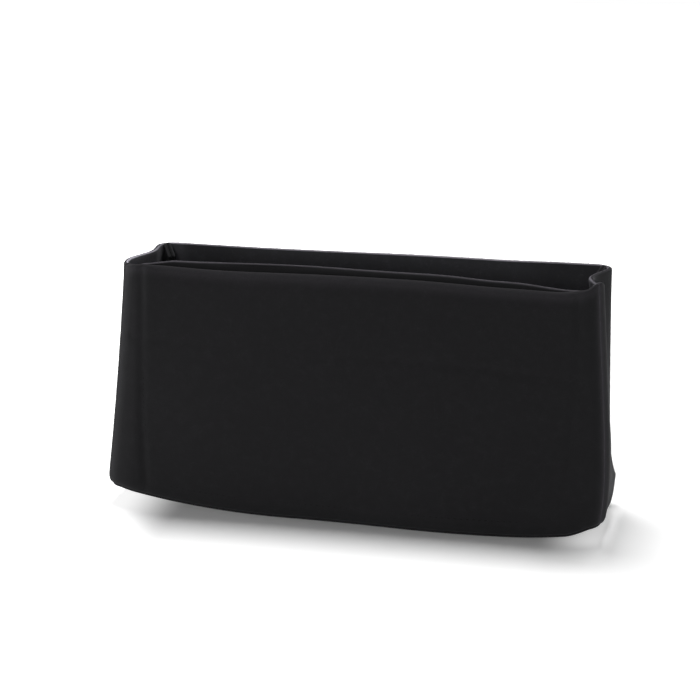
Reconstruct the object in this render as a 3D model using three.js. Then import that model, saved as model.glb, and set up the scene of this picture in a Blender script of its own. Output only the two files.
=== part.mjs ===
// Purse organizer insert: a soft open box of thick felt that stands inside a handbag.
// Millimetres, +Z up, X along the long side, the front at -Y. The origin is on the table, under the middle of the rim.
//
// Five felt panels are sewn together with turned-in seam allowances: two long walls, two gussets and a bottom.
// A slip pocket as high as the wall is sewn inside the front wall, along both sides and the foot, and stands open.
// A lower pocket inside the back wall is sewn down into compartments. A thin board with a felt top lies loose inside.
// The bottom is flat in the middle and curls up towards both ends, and the gussets fold in a little at the rim.
import * as THREE from "three";

// Overall sizes, measured on the outer faces of the felt walls
const RIM_LENGTH = 240;
const RIM_DEPTH = 55;
const FLOOR_LENGTH = 257;
const FLOOR_DEPTH = 68;
const HEIGHT = 126.8;

// How the walls run between the floor and the rim
const FLARE_START = 12;
const FLARE_POWER = 1.5;
const FRONT_FLOOR_BOW = 3;
const FRONT_RIM_BOW = -1.5;
const BACK_FLOOR_BOW = 3;
const BACK_RIM_BOW = 0.5;
const FRONT_RIM_SAG = 2.6;
const GUSSET_FOLD = 4.5;
const FOLD_START = 40;

// The bottom: flat on the table in the middle, curled up towards the ends
const REST_LENGTH = 140;
const CORNER_LIFT = 10.5;
const CURL_POWER = 2.2;

// Felt and seams
const WALL = 2.6;
const INNER_CORNER_RADIUS = 5;
const INNER_EDGE_RADIUS = 4;
const SEAM_GAP = 0.3;
const ALLOWANCE = 6;
const ALLOWANCE_SQUEEZE_SHARE = 0.8;
const SEAM_ROUNDING = 1.2;
const ALLOWANCE_FOOT = 1.2;

// Pockets inside: one as high as the wall at the front, and a lower one at the back, sewn into compartments
const POCKET_FELT = 2;
const POCKET_MARGIN = 13;
const POCKET_FOOT = 2;
const FRONT_POCKET_CROWN = 1.4;
const FRONT_POCKET_EASE = 3.5;
const FRONT_POCKET_RAMP = 38;
const BACK_POCKET_DROP = 24;
const BACK_POCKET_EASE = 1;
const BACK_COMPARTMENTS = 3;
const POCKET_PUFF_SHARE = 0.35;

// The loose board: a bendable plastic core with a felt top
const BOARD_END_RADIUS = 9;
const BOARD_END_PLAY = 5;
const BOARD_SIDE_PLAY = 1;
const BOARD_CORE = 1.2;
const BOARD_FELT = 1.6;
const BOARD_CORE_INSET = 1;
const BOARD_GAP = 0.3;

// How finely the curved sheets are faceted
const LONG_STEPS = 22;
const GUSSET_STEPS = 8;
const CORNER_STEPS = 3;
const WALL_ROWS = 9;
const EDGE_ROWS = 2;
const POCKET_ROWS = 8;
const COMPARTMENT_STEPS = 8;
const BOARD_STEPS = 20;

const CORNER_RADIUS = INNER_CORNER_RADIUS + WALL;
const EDGE_RADIUS = INNER_EDGE_RADIUS + WALL;
const SEAM_HALF_GAP = SEAM_GAP / 2;
const ALLOWANCE_FELT = WALL * ALLOWANCE_SQUEEZE_SHARE;
const EIGHTH_TURN = Math.PI / 4;
const QUARTER_TURN = Math.PI / 2;
const FRONT = -1;
const BACK = 1;
const LEFT = -1;
const RIGHT = 1;

const { lerp, clamp, smoothstep } = THREE.MathUtils;

// A matt cloth or plastic finish.
function finish(name, color, roughness) {
  return new THREE.MeshStandardMaterial({ name, color, roughness, metalness: 0 });
}

const wallFelt = finish("wall_felt", 0x1f1f21, 0.95);
const pocketFelt = finish("pocket_felt", 0x1c1c1e, 0.95);
const boardFelt = finish("board_felt", 0x1a1a1c, 0.95);
const boardPlastic = finish("board_plastic", 0x2a2a2c, 0.5);

// Share of the way from the floor's outline (0) to the rim's (1) at height z.
function rise(z) {
  const down = clamp((HEIGHT - z) / (HEIGHT - FLARE_START), 0, 1);
  return 1 - down ** FLARE_POWER;
}

const halfLength = (z) => lerp(FLOOR_LENGTH, RIM_LENGTH, rise(z)) / 2;
const halfDepth = (z) => lerp(FLOOR_DEPTH, RIM_DEPTH, rise(z)) / 2;

// How far the middle of a long wall stands outside the line between its corners, at height z.
function bow(wall, z) {
  const share = clamp(z / HEIGHT, 0, 1);
  if (wall === FRONT) return lerp(FRONT_FLOOR_BOW, FRONT_RIM_BOW, share);
  return lerp(BACK_FLOOR_BOW, BACK_RIM_BOW, share);
}

// How far the crease of a gusset lies inside the line between its corners, at height z.
const fold = (z) => GUSSET_FOLD * smoothstep(z, FOLD_START, HEIGHT);

// Height of the underside above the table at x: nothing over the flat middle, then a power curve up to the corners.
function lift(x) {
  const end = FLOOR_LENGTH / 2 - CORNER_RADIUS;
  const share = clamp((Math.abs(x) - REST_LENGTH / 2) / (end - REST_LENGTH / 2), 0, 1);
  return CORNER_LIFT * share ** CURL_POWER;
}

// Height of the rim of a long wall, at a share q of its straight run, -1 at the left and 1 at the right.
const rimHeight = (wall, q) => HEIGHT - (wall === FRONT ? FRONT_RIM_SAG * Math.max(0, 1 - q * q) : 0);

// A column is one upright line of a wall. plan(z, inset) is its place at height z, inset from the wall's outer face.
// foot is the height of the underside below it, and top the height of the rim above it.

function longColumn(wall, q) {
  return {
    foot: lift((q * (FLOOR_LENGTH - 2 * CORNER_RADIUS)) / 2),
    top: rimHeight(wall, q),
    plan(z, inset) {
      const run = halfLength(z) - CORNER_RADIUS;
      const out = bow(wall, z);
      const slope = (2 * out * q) / run;
      const size = Math.hypot(1, slope);
      const y = halfDepth(z) + out * (1 - q * q) - inset / size;
      return new THREE.Vector2(q * run - (inset * slope) / size, wall * y);
    },
  };
}

function gussetColumn(end, q) {
  return {
    foot: CORNER_LIFT,
    top: HEIGHT,
    plan(z, inset) {
      const run = halfDepth(z) - CORNER_RADIUS;
      const deep = fold(z);
      const slope = (4 * deep * q * (1 - q * q)) / run;
      const size = Math.hypot(1, slope);
      const x = halfLength(z) - deep * (1 - q * q) ** 2 - inset / size;
      return new THREE.Vector2(end * x, q * run + (inset * slope) / size);
    },
  };
}

// The round corner between a wall and a gusset; angle 0 faces along X and a quarter turn faces along Y.
function cornerColumn(wall, end, angle) {
  return {
    foot: CORNER_LIFT,
    top: HEIGHT,
    plan(z, inset) {
      const reach = CORNER_RADIUS - inset;
      const x = halfLength(z) - CORNER_RADIUS + reach * Math.cos(angle);
      const y = halfDepth(z) - CORNER_RADIUS + reach * Math.sin(angle);
      return new THREE.Vector2(end * x, wall * y);
    },
  };
}

// One row of a panel's profile is [z, inset] of its outer face and of its inner face.
function edgeRow(foot, angle) {
  const centre = foot + EDGE_RADIUS;
  return {
    outer: [centre - EDGE_RADIUS * Math.sin(angle), EDGE_RADIUS * (1 - Math.cos(angle))],
    inner: [centre - INNER_EDGE_RADIUS * Math.sin(angle), EDGE_RADIUS - INNER_EDGE_RADIUS * Math.cos(angle)],
  };
}

// A wall's profile: down from the rim, then round the floor's edge as far as the seam with the bottom.
function wallProfile({ foot, top }) {
  const seam = EIGHTH_TURN - Math.asin(SEAM_HALF_GAP / INNER_EDGE_RADIUS);
  const rows = [];
  for (let i = 0; i <= WALL_ROWS; i++) {
    const z = lerp(top, foot + EDGE_RADIUS, i / WALL_ROWS);
    rows.push({ outer: [z, 0], inner: [z, WALL] });
  }
  for (let i = 1; i <= EDGE_ROWS; i++) rows.push(edgeRow(foot, (seam * i) / EDGE_ROWS));
  return rows;
}

const raise = (plan, z) => new THREE.Vector3(plan.x, plan.y, z);

// A line is a column's profile as pairs of places, one on the sheet's outer face and one on its inner face.
function wallLine(column) {
  const place = ([z, inset]) => raise(column.plan(z, inset), z);
  return wallProfile(column).map((row) => ({ outer: place(row.outer), inner: place(row.inner) }));
}

// A place by the diagonal of a round corner: out is measured along it from the corner's centre, aside across it,
// towards the long wall if turn is 1 and towards the gusset if it is -1.
function diagonalPlace({ wall, end, turn }, z, out, aside) {
  const x = halfLength(z) - CORNER_RADIUS + (out - turn * aside) * Math.SQRT1_2;
  const y = halfDepth(z) - CORNER_RADIUS + (out + turn * aside) * Math.SQRT1_2;
  return new THREE.Vector3(end * x, wall * y, z);
}

// A panel's lines from the free edge of its seam allowance, out along the corner's diagonal, round the seam and on
// to the straight run. The allowance is a tongue of squeezed felt that stops short of the bottom.
function cornerLines(corner) {
  const inside = SEAM_HALF_GAP + ALLOWANCE_FELT;
  const tip = INNER_CORNER_RADIUS - ALLOWANCE;
  const rows = wallProfile({ foot: CORNER_LIFT, top: HEIGHT });
  const freeFoot = CORNER_LIFT + EDGE_RADIUS;
  const firstTurn = Math.asin((SEAM_HALF_GAP + SEAM_ROUNDING) / CORNER_RADIUS);
  const roundedPlace = ({ outer, inner }) => {
    const z = lerp(outer[0], inner[0], SEAM_ROUNDING / WALL);
    const inset = lerp(outer[1], inner[1], SEAM_ROUNDING / WALL);
    return diagonalPlace(corner, z, CORNER_RADIUS - inset, SEAM_HALF_GAP);
  };
  const outerPlace = ([z, inset], i) => {
    const reach = CORNER_RADIUS - inset;
    const angle = lerp(firstTurn, EIGHTH_TURN, (i - 2) / CORNER_STEPS);
    return diagonalPlace(corner, z, reach * Math.cos(angle), reach * Math.sin(angle));
  };
  const innerPlace = ([z, inset], i) => {
    const reach = CORNER_RADIUS - inset;
    const angle = lerp(Math.asin(inside / reach), EIGHTH_TURN, i / (CORNER_STEPS + 2));
    return diagonalPlace(corner, z, reach * Math.cos(angle), reach * Math.sin(angle));
  };
  const freeEdge = rows.map(({ outer }, j) => {
    const past = Math.max(0, j - WALL_ROWS) / EDGE_ROWS;
    const z = Math.max(outer[0], freeFoot) - ALLOWANCE_FOOT * past;
    return { outer: diagonalPlace(corner, z, tip, SEAM_HALF_GAP), inner: diagonalPlace(corner, z, tip, inside) };
  });
  const neck = rows.map(({ inner }) => ({
    outer: diagonalPlace(corner, inner[0], CORNER_RADIUS - inner[1], SEAM_HALF_GAP),
    inner: innerPlace(inner, 0),
  }));
  const bend = rows.map((row) => ({ outer: roundedPlace(row), inner: innerPlace(row.inner, 1) }));
  const lines = [freeEdge, neck, bend];
  for (let i = 2; i <= CORNER_STEPS + 1; i++) {
    lines.push(rows.map(({ outer, inner }) => ({ outer: outerPlace(outer, i), inner: innerPlace(inner, i) })));
  }
  return lines;
}

// A closed mesh from points and the quads or triangles between them, with its faces pointing out.
function closedGeometry(points, faces) {
  const index = faces.flatMap((f) => (f.length === 3 ? f : [f[0], f[1], f[2], f[0], f[2], f[3]]));
  const cross = new THREE.Vector3();
  let volume = 0;
  for (let i = 0; i < index.length; i += 3) {
    volume += points[index[i]].dot(cross.crossVectors(points[index[i + 1]], points[index[i + 2]]));
  }
  if (volume < 0) index.reverse();
  const geometry = new THREE.BufferGeometry().setFromPoints(points);
  geometry.setIndex(index);
  geometry.computeVertexNormals();
  return geometry;
}

// A sheet of felt from its lines: both faces, the two long edges and the two end edges.
function sheetGeometry(lines) {
  const rows = lines[0].length;
  const points = lines.flatMap((line) => line.flatMap(({ outer, inner }) => [outer, inner]));
  const at = (i, j, inner) => 2 * (i * rows + j) + inner;
  const last = lines.length - 1;
  const faces = [];
  for (let i = 0; i < last; i++) {
    for (let j = 0; j < rows - 1; j++) {
      faces.push([at(i, j, 0), at(i, j + 1, 0), at(i + 1, j + 1, 0), at(i + 1, j, 0)]);
      faces.push([at(i, j, 1), at(i + 1, j, 1), at(i + 1, j + 1, 1), at(i, j + 1, 1)]);
    }
    faces.push([at(i, 0, 0), at(i + 1, 0, 0), at(i + 1, 0, 1), at(i, 0, 1)]);
    faces.push([at(i, rows - 1, 0), at(i, rows - 1, 1), at(i + 1, rows - 1, 1), at(i + 1, rows - 1, 0)]);
  }
  for (let j = 0; j < rows - 1; j++) {
    faces.push([at(0, j, 0), at(0, j, 1), at(0, j + 1, 1), at(0, j + 1, 0)]);
    faces.push([at(last, j, 0), at(last, j + 1, 0), at(last, j + 1, 1), at(last, j, 1)]);
  }
  return closedGeometry(points, faces);
}

// A plate from its rings, each a loop of paired low and high places, from the outline inwards. Place 0 and the place
// half way round lie on the middle line, and the innermost ring is closed straight across from front to back.
function plateGeometry(rings) {
  const count = rings[0].length;
  const points = rings.flatMap((ring) => ring.flatMap(({ low, high }) => [low, high]));
  const at = (k, i, high) => 2 * (k * count + ((i + count) % count)) + high;
  const faces = [];
  for (let i = 0; i < count; i++) {
    faces.push([at(0, i, 0), at(0, i, 1), at(0, i + 1, 1), at(0, i + 1, 0)]);
    for (let k = 0; k < rings.length - 1; k++) {
      faces.push([at(k, i, 0), at(k, i + 1, 0), at(k + 1, i + 1, 0), at(k + 1, i, 0)]);
      faces.push([at(k, i, 1), at(k + 1, i, 1), at(k + 1, i + 1, 1), at(k, i + 1, 1)]);
    }
  }
  const k = rings.length - 1;
  const half = count / 2;
  faces.push([at(k, 0, 0), at(k, 1, 0), at(k, -1, 0)]);
  faces.push([at(k, 0, 1), at(k, -1, 1), at(k, 1, 1)]);
  for (let i = 1; i < half - 1; i++) {
    faces.push([at(k, i, 0), at(k, i + 1, 0), at(k, -i - 1, 0), at(k, -i, 0)]);
    faces.push([at(k, i, 1), at(k, -i, 1), at(k, -i - 1, 1), at(k, i + 1, 1)]);
  }
  faces.push([at(k, half - 1, 0), at(k, half, 0), at(k, half + 1, 0)]);
  faces.push([at(k, half - 1, 1), at(k, half + 1, 1), at(k, half, 1)]);
  return closedGeometry(points, faces);
}

// Even shares from -1 to 1.
const shares = (steps) => Array.from({ length: steps + 1 }, (_, i) => (2 * i) / steps - 1);

function longWallGeometry(wall) {
  return sheetGeometry([
    ...cornerLines({ wall, end: LEFT, turn: 1 }),
    ...shares(LONG_STEPS).map((q) => wallLine(longColumn(wall, q))),
    ...cornerLines({ wall, end: RIGHT, turn: 1 }).reverse(),
  ]);
}

function gussetGeometry(end) {
  return sheetGeometry([
    ...cornerLines({ wall: FRONT, end, turn: -1 }),
    ...shares(GUSSET_STEPS).map((q) => wallLine(gussetColumn(end, q))),
    ...cornerLines({ wall: BACK, end, turn: -1 }).reverse(),
  ]);
}

// The bottom runs from the seam round the lower half of the floor's edge, then flat across.
function bottomGeometry() {
  const steps = 2 * CORNER_STEPS;
  const corner = (wall, end) =>
    Array.from({ length: steps - 1 }, (_, i) => cornerColumn(wall, end, (QUARTER_TURN * (i + 1)) / steps));
  const gusset = (end) => shares(GUSSET_STEPS).map((q) => gussetColumn(end, q));
  const long = (wall) => shares(LONG_STEPS).map((q) => longColumn(wall, q));
  const middle = GUSSET_STEPS / 2;
  const columns = [
    ...gusset(RIGHT).slice(middle),
    ...corner(BACK, RIGHT),
    ...long(BACK).reverse(),
    ...corner(BACK, LEFT).reverse(),
    ...gusset(LEFT).reverse(),
    ...corner(FRONT, LEFT),
    ...long(FRONT),
    ...corner(FRONT, RIGHT).reverse(),
    ...gusset(RIGHT).slice(0, middle),
  ];
  const seam = EIGHTH_TURN + Math.asin(SEAM_HALF_GAP / INNER_EDGE_RADIUS);
  const rings = [];
  for (let k = 0; k <= EDGE_ROWS; k++) {
    const angle = lerp(seam, QUARTER_TURN, k / EDGE_ROWS);
    const pair = (column) => {
      const { outer, inner } = edgeRow(column.foot, angle);
      return { low: raise(column.plan(...outer), outer[0]), high: raise(column.plan(...inner), inner[0]) };
    };
    rings.push(columns.map(pair));
  }
  return plateGeometry(rings);
}

// A pocket panel lies along the inner face of a long wall, from just above the floor's edge to its mouth.
// gapAt(x, half, up) is its distance from the wall at x, where half is its half-length and up runs from 0 at its
// foot to 1 at its mouth; mouthAt(q) is the height of the mouth.
function pocketGeometry({ wall, columns, mouthAt, gapAt }) {
  const straight = FLOOR_LENGTH / 2 - CORNER_RADIUS;
  const line = (share) => {
    const q0 = (share * (FLOOR_LENGTH / 2 - POCKET_MARGIN)) / straight;
    const low = longColumn(wall, q0).foot + EDGE_RADIUS + POCKET_FOOT;
    return Array.from({ length: POCKET_ROWS + 1 }, (_, j) => {
      const up = j / POCKET_ROWS;
      const z = lerp(low, mouthAt(share), up);
      const half = halfLength(z) - POCKET_MARGIN;
      const column = longColumn(wall, (share * half) / (halfLength(z) - CORNER_RADIUS));
      const near = WALL + SEAM_GAP + gapAt(share * half, half, up);
      return { outer: raise(column.plan(z, near), z), inner: raise(column.plan(z, near + POCKET_FELT), z) };
    });
  };
  return sheetGeometry(columns.map(line));
}

// How full a pocket stands at a share up of its height: flat along the sewn foot, full above.
const puff = (up) => smoothstep(up, 0, POCKET_PUFF_SHARE);

// The front pocket stands off its wall between its sewn sides, and its mouth crowns a little above the rim.
function frontPocketGeometry() {
  const half = RIM_LENGTH / 2 - POCKET_MARGIN;
  const plateau = (x, end) => smoothstep(end - Math.abs(x), 0, FRONT_POCKET_RAMP);
  return pocketGeometry({
    wall: FRONT,
    columns: shares(LONG_STEPS),
    mouthAt: (share) => HEIGHT + FRONT_POCKET_CROWN * plateau(share * half, half),
    gapAt: (x, end, up) => FRONT_POCKET_EASE * plateau(x, end) * puff(up),
  });
}

// Each compartment of the back pocket puffs out a little between two lines of stitching.
function backPocketGeometry() {
  return pocketGeometry({
    wall: BACK,
    columns: shares(BACK_COMPARTMENTS * COMPARTMENT_STEPS),
    mouthAt: () => HEIGHT - BACK_POCKET_DROP,
    gapAt(x, end, up) {
      const along = ((x / end + 1) / 2) * BACK_COMPARTMENTS;
      return BACK_POCKET_EASE * Math.sin(Math.PI * along) ** 2 * puff(up);
    },
  });
}

// The board clears the folded gussets and the floor's curved ends, less the play.
const CLEAR_RIM = RIM_LENGTH / 2 - WALL - GUSSET_FOLD;
const FLAT_FLOOR = FLOOR_LENGTH / 2 - EDGE_RADIUS;
const BOARD_HALF_LENGTH = Math.min(CLEAR_RIM, FLAT_FLOOR) - BOARD_END_PLAY;

// The board is as wide as the way up between the two pocket mouths, less the play, so that it lifts straight out.
const BOARD_FRONT = -(
  RIM_DEPTH / 2 + FRONT_RIM_BOW - WALL - SEAM_GAP - FRONT_POCKET_EASE - POCKET_FELT - BOARD_SIDE_PLAY
);
const BOARD_BACK = RIM_DEPTH / 2 - WALL - SEAM_GAP - BACK_POCKET_EASE - POCKET_FELT - BOARD_SIDE_PLAY;

// A layer of the loose board, from height low to low + thick above the bottom's upper face, inset from its outline.
function boardGeometry(low, thick, inset) {
  const halfRun = BOARD_HALF_LENGTH - inset;
  const halfWidth = (BOARD_BACK - BOARD_FRONT) / 2 - inset;
  const middle = (BOARD_BACK + BOARD_FRONT) / 2;
  const radius = BOARD_END_RADIUS - inset;
  const round = Array.from({ length: CORNER_STEPS + 1 }, (_, i) => {
    const angle = (QUARTER_TURN * i) / CORNER_STEPS;
    return new THREE.Vector2(halfRun - radius * (1 - Math.cos(angle)), halfWidth - radius * (1 - Math.sin(angle)));
  });
  const straight = shares(BOARD_STEPS)
    .slice(1, -1)
    .map((share) => new THREE.Vector2(-share * (halfRun - radius), halfWidth));
  const farRound = round.map((p) => new THREE.Vector2(-p.x, p.y)).reverse();
  const side = [...round, ...straight, ...farRound];
  const loop = [
    new THREE.Vector2(halfRun, 0),
    ...side,
    new THREE.Vector2(-halfRun, 0),
    ...side.map((p) => new THREE.Vector2(p.x, -p.y)).reverse(),
  ];
  const ring = loop.map((p) => {
    const z = lift(p.x) + WALL + BOARD_GAP + low;
    return { low: new THREE.Vector3(p.x, middle + p.y, z), high: new THREE.Vector3(p.x, middle + p.y, z + thick) };
  });
  return plateGeometry([ring]);
}

const insert = new THREE.Group();
insert.name = "purse_organizer_insert";

function add(name, geometry, material) {
  const mesh = new THREE.Mesh(geometry, material);
  mesh.name = name;
  insert.add(mesh);
}

add("front_panel", longWallGeometry(FRONT), wallFelt);
add("back_panel", longWallGeometry(BACK), wallFelt);
add("left_side_panel", gussetGeometry(LEFT), wallFelt);
add("right_side_panel", gussetGeometry(RIGHT), wallFelt);
add("bottom_panel", bottomGeometry(), wallFelt);
add("front_inner_pocket", frontPocketGeometry(), pocketFelt);
add("back_inner_pocket", backPocketGeometry(), pocketFelt);
add("base_board_core", boardGeometry(0, BOARD_CORE, BOARD_CORE_INSET), boardPlastic);
add("base_board_felt", boardGeometry(BOARD_CORE + BOARD_GAP, BOARD_FELT, 0), boardFelt);

export default insert;
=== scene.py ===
"""A soft purse organizer insert of black felt, standing open on a white table.

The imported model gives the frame. Every felt panel is worked out again here as a fine surface, with the
photographed creases, seams, stitches and cut edges. Lengths are in metres, X runs along the long side, the
front is at -Y and Z is up.
"""

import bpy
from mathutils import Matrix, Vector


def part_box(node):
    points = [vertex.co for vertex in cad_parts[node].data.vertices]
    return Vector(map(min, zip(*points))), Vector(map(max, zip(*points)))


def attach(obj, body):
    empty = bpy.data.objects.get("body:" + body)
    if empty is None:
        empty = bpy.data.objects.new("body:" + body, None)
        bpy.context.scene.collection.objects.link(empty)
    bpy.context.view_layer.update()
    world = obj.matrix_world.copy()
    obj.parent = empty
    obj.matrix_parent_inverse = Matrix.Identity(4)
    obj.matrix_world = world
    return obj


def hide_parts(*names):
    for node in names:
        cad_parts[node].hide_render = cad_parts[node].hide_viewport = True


bl_info = {
    "name": "Felt Purse Insert",
    "version": (1, 0, 0),
    "blender": (4, 5, 0),
    "location": "View3D > Sidebar > Felt Insert",
    "description": "Builds a felt purse organizer insert, its stitching and a small photo stage",
    "category": "Object",
}

import bmesh
import bpy
import numpy as np
from bpy.props import FloatProperty, FloatVectorProperty, IntProperty, PointerProperty
from mathutils import Matrix, Vector

MM = 0.001
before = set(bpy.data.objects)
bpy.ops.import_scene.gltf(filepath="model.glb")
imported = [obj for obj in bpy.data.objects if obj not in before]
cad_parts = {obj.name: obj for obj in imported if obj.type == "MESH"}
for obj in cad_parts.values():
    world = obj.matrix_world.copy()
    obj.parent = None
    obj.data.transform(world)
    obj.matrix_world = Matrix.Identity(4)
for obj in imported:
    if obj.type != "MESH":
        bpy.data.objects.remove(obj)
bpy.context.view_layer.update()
BOX_BODY = "felt_box"
BOARD_BODY = "base_board"
FRONT, BACK, LEFT, RIGHT = -1, 1, -1, 1
EIGHTH_TURN = np.pi / 4
QUARTER_TURN = np.pi / 2


def length(name, description, default):
    """A length property in metres."""
    return FloatProperty(name=name, description=description, default=default, unit="LENGTH", precision=5)


def number(name, description, default):
    """A plain number property."""
    return FloatProperty(name=name, description=description, default=default)


def angle_of(name, description, degrees):
    """An angle property, given in degrees."""
    return FloatProperty(name=name, description=description, default=np.radians(degrees), subtype="ANGLE")


def colour(name, description, default):
    """A colour property, given as it looks on screen."""
    linear = tuple(((c + 0.055) / 1.055) ** 2.4 if c > 0.04045 else c / 12.92 for c in default)
    return FloatVectorProperty(
        name=name, description=description, default=linear, subtype="COLOR", min=0, max=1
    )


class FeltBoxSizes(bpy.types.PropertyGroup):
    """The box of sewn felt panels."""

    rim_length: length("Rim length", "Outside length at the rim", 240 * MM)
    rim_depth: length("Rim depth", "Outside depth at the rim", 55 * MM)
    height: length("Height", "Height of the corners of the rim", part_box("back_panel")[1].z)
    felt: length("Felt", "Thickness of the wall felt", 2.6 * MM)
    corner_radius: length("Corner radius", "Outside radius of the upright corners", 7.6 * MM)
    edge_radius: length("Edge radius", "Outside radius between the walls and the bottom", 6.6 * MM)
    seam_gap: length("Seam gap", "Space between two panels at a seam", 0.06 * MM)
    allowance: length("Seam allowance", "Width of the felt turned in at a corner seam", 6 * MM)
    left_flare: length("Left flare", "How far the floor stands out past the rim at the left", 8.5 * MM)
    left_flare_power: number("Left flare power", "1 is a straight flare, more keeps it low", 1.2)
    right_flare: length("Right flare", "How far the floor stands out past the rim at the right", 3.6 * MM)
    right_flare_power: number("Right flare power", "1 is a straight flare, more keeps it low", 1.1)
    right_kick: length("Right kick", "How far the foot at the right kicks out past its flare", 6.4 * MM)
    front_flare: length("Front flare", "How far the floor stands out past the rim at the front", 7.4 * MM)
    back_flare: length("Back flare", "How far the floor stands out past the rim at the back", 6 * MM)
    flare_power: number("Flare power", "1 is a straight flare, more keeps it low", 1.5)
    flare_start: length("Flare start", "Height below which the walls stand upright", 12 * MM)
    left_rest: length("Left rest", "Length that lies flat, left of the middle", 35 * MM)
    right_rest: length("Right rest", "Length that lies flat, right of the middle", 75 * MM)
    left_lift: length("Left lift", "Height of the bottom's left corners", 9 * MM)
    right_lift: length("Right lift", "Height of the bottom's right corners", 4.1 * MM)
    left_curl: number("Left curl", "Power of the bottom's curve at the left", 2.1)
    right_curl: number("Right curl", "Power of the bottom's curve at the right", 2.2)
    left_fold: length("Left fold", "How far the left gusset folds in at the rim", 2 * MM)
    right_fold: length("Right fold", "How far the right gusset folds in at the rim", 6.7 * MM)
    fold_start: length("Fold start", "Height at which the gussets begin to fold in", 40 * MM)
    front_bow: length("Front bow", "How far the front wall leans in at the middle of the rim", 1.5 * MM)
    back_bow: length("Back bow", "How far the back wall bulges out at the middle of its height", 1.5 * MM)
    front_sag: length("Front sag", "How far the front rim drops in its middle", 1.2 * MM)
    crease_drop: length("Crease drop", "How far below the rim the shipping crease runs", 41 * MM)


class PocketSizes(bpy.types.PropertyGroup):
    """The two pockets inside."""

    felt: length("Pocket felt", "Thickness of the pocket felt", 2 * MM)
    margin: length("Margin", "Distance from a pocket's sewn side to the corner", 11 * MM)
    foot: length("Foot", "Distance from a pocket's foot to the floor's rounded edge", 2 * MM)
    crown: length("Crown", "How far the front pocket stands above the rim", 1.4 * MM)
    ease: length("Ease", "How far the front pocket's mouth stands open", 3.5 * MM)
    left_ramp: length("Left ramp", "Length over which the mouth opens from its left side", 9 * MM)
    right_ramp: length("Right ramp", "Length over which the mouth opens from its right side", 38 * MM)
    back_drop: length("Back drop", "How far below the rim the back pocket's mouth is", 24 * MM)
    back_ease: length("Back ease", "How far each back compartment stands off the wall", 1 * MM)
    compartments: IntProperty(
        name="Compartments", description="Compartments of the back pocket", default=3, min=1
    )


class FeltColours(bpy.types.PropertyGroup):
    """Colours of felt, thread and board."""

    felt: colour("Felt", "Body of the felt", (0.078, 0.078, 0.083))
    fibre: colour("Fibre", "Lighter fibres in the felt", (0.148, 0.146, 0.156))
    # This colour is also laid on as painted highlights along the front rim and the front right seam.
    cut: colour("Cut edge", "Freshly cut edge of the felt", (0.27, 0.26, 0.28))
    thread: colour("Thread", "Sewing thread", (0.06, 0.06, 0.064))
    board: colour("Board", "Plastic core of the base board", (0.16, 0.16, 0.165))
    table: colour("Table", "White table and backdrop", (0.985, 0.985, 0.985))


class StageSizes(bpy.types.PropertyGroup):
    """Camera and table, with the camera's place worked out from the photograph's perspective."""

    azimuth: angle_of("Azimuth", "How far the camera stands to the right of straight ahead", 11.32)
    elevation: angle_of("Elevation", "How far the camera looks down", 15.6)
    roll: angle_of("Roll", "How far the camera is turned about its own axis", 0.62)
    distance: length("Distance", "From the camera to the middle of the insert", 942.7 * MM)
    shift_right: length("Shift right", "How far the camera moves to its right", -8.08 * MM)
    shift_up: length("Shift up", "How far the camera moves up across its view", 21.6 * MM)
    aim_height: length("Aim height", "Height of the point that the camera is set out from", 60 * MM)
    lens: FloatProperty(
        name="Lens", description="Focal length for a 36 mm sensor", default=95.24, unit="CAMERA"
    )
    table_size: length("Table size", "Length of the table's side", 6.0)


def settings():
    """The scene's three groups of sizes, as one object each: box, pockets and stage."""
    scene = bpy.context.scene
    return scene.felt_box, scene.felt_pockets, scene.felt_stage


# Small formulas


def mix(a, b, share):
    """Straight interpolation between a and b."""
    return a + (b - a) * share


def smooth(value, low, high):
    """Smooth step: 0 at low and beyond, 1 at high and beyond, cubic in between."""
    t = np.clip((value - low) / (high - low), 0, 1)
    return t * t * (3 - 2 * t)


def hill(value, middle, width):
    """A smooth hill of height 1 at the middle, falling off as a bell of the given width."""
    return np.exp(-(((value - middle) / width) ** 2))


def dips(share, table, start=0):
    """A start plus a sum of hills, each given as its place along a wall, its width and its depth."""
    return sum((depth * hill(share, place, width) for place, width, depth in table), start)


def wave(share, height, rate, phase):
    """A slow sine wave along a wall that dies out at both ends."""
    return height * np.sin(rate * share + phase) * (1 - share * share)


def unit(vectors):
    """Vectors brought to length 1."""
    return vectors / np.linalg.norm(vectors, axis=-1, keepdims=True)


def ripple(points, wavelength, seed, waves=7):
    """Soft noise from -1 to 1: a sum of sine waves in seeded random directions, each of about the
    wavelength."""
    draw = np.random.default_rng(seed)
    directions = unit(draw.normal(size=(waves, 3)))
    rates = 2 * np.pi / (wavelength * draw.uniform(0.7, 1.4, waves))
    phases = draw.uniform(0, 2 * np.pi, waves)
    return np.sin(points @ (directions * rates[:, None]).T + phases).sum(-1) / waves


# The shape of the box: its outline in plan at each height, and its profile down the wall and round the
# floor's edge


def down(z, box):
    """Share of the way down from the rim to where the flare starts."""
    return np.clip((box.height - z) / (box.height - box.flare_start), 0, 1)


def half_length(end, z, box):
    """Distance from the middle to a gusset's outer face at height z: half the rim plus the flare, and at the
    right a kick close to the floor."""
    low = down(z, box)
    if end == LEFT:
        return box.rim_length / 2 + box.left_flare * low**box.left_flare_power
    flare = box.right_flare * low**box.right_flare_power
    return box.rim_length / 2 + flare + box.right_kick * low**KICK_POWER


KICK_POWER = 9


def side_length(side, z, box):
    """Distance from the middle to the left gusset's outer face where side is negative, else to the
    right's."""
    return np.where(side < 0, half_length(LEFT, z, box), half_length(RIGHT, z, box))


def half_depth(wall, z, box):
    """Distance from the middle to a long wall's outer face at its corners, at height z."""
    flare = box.front_flare if wall == FRONT else box.back_flare
    return box.rim_depth / 2 + flare * down(z, box) ** box.flare_power


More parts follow.
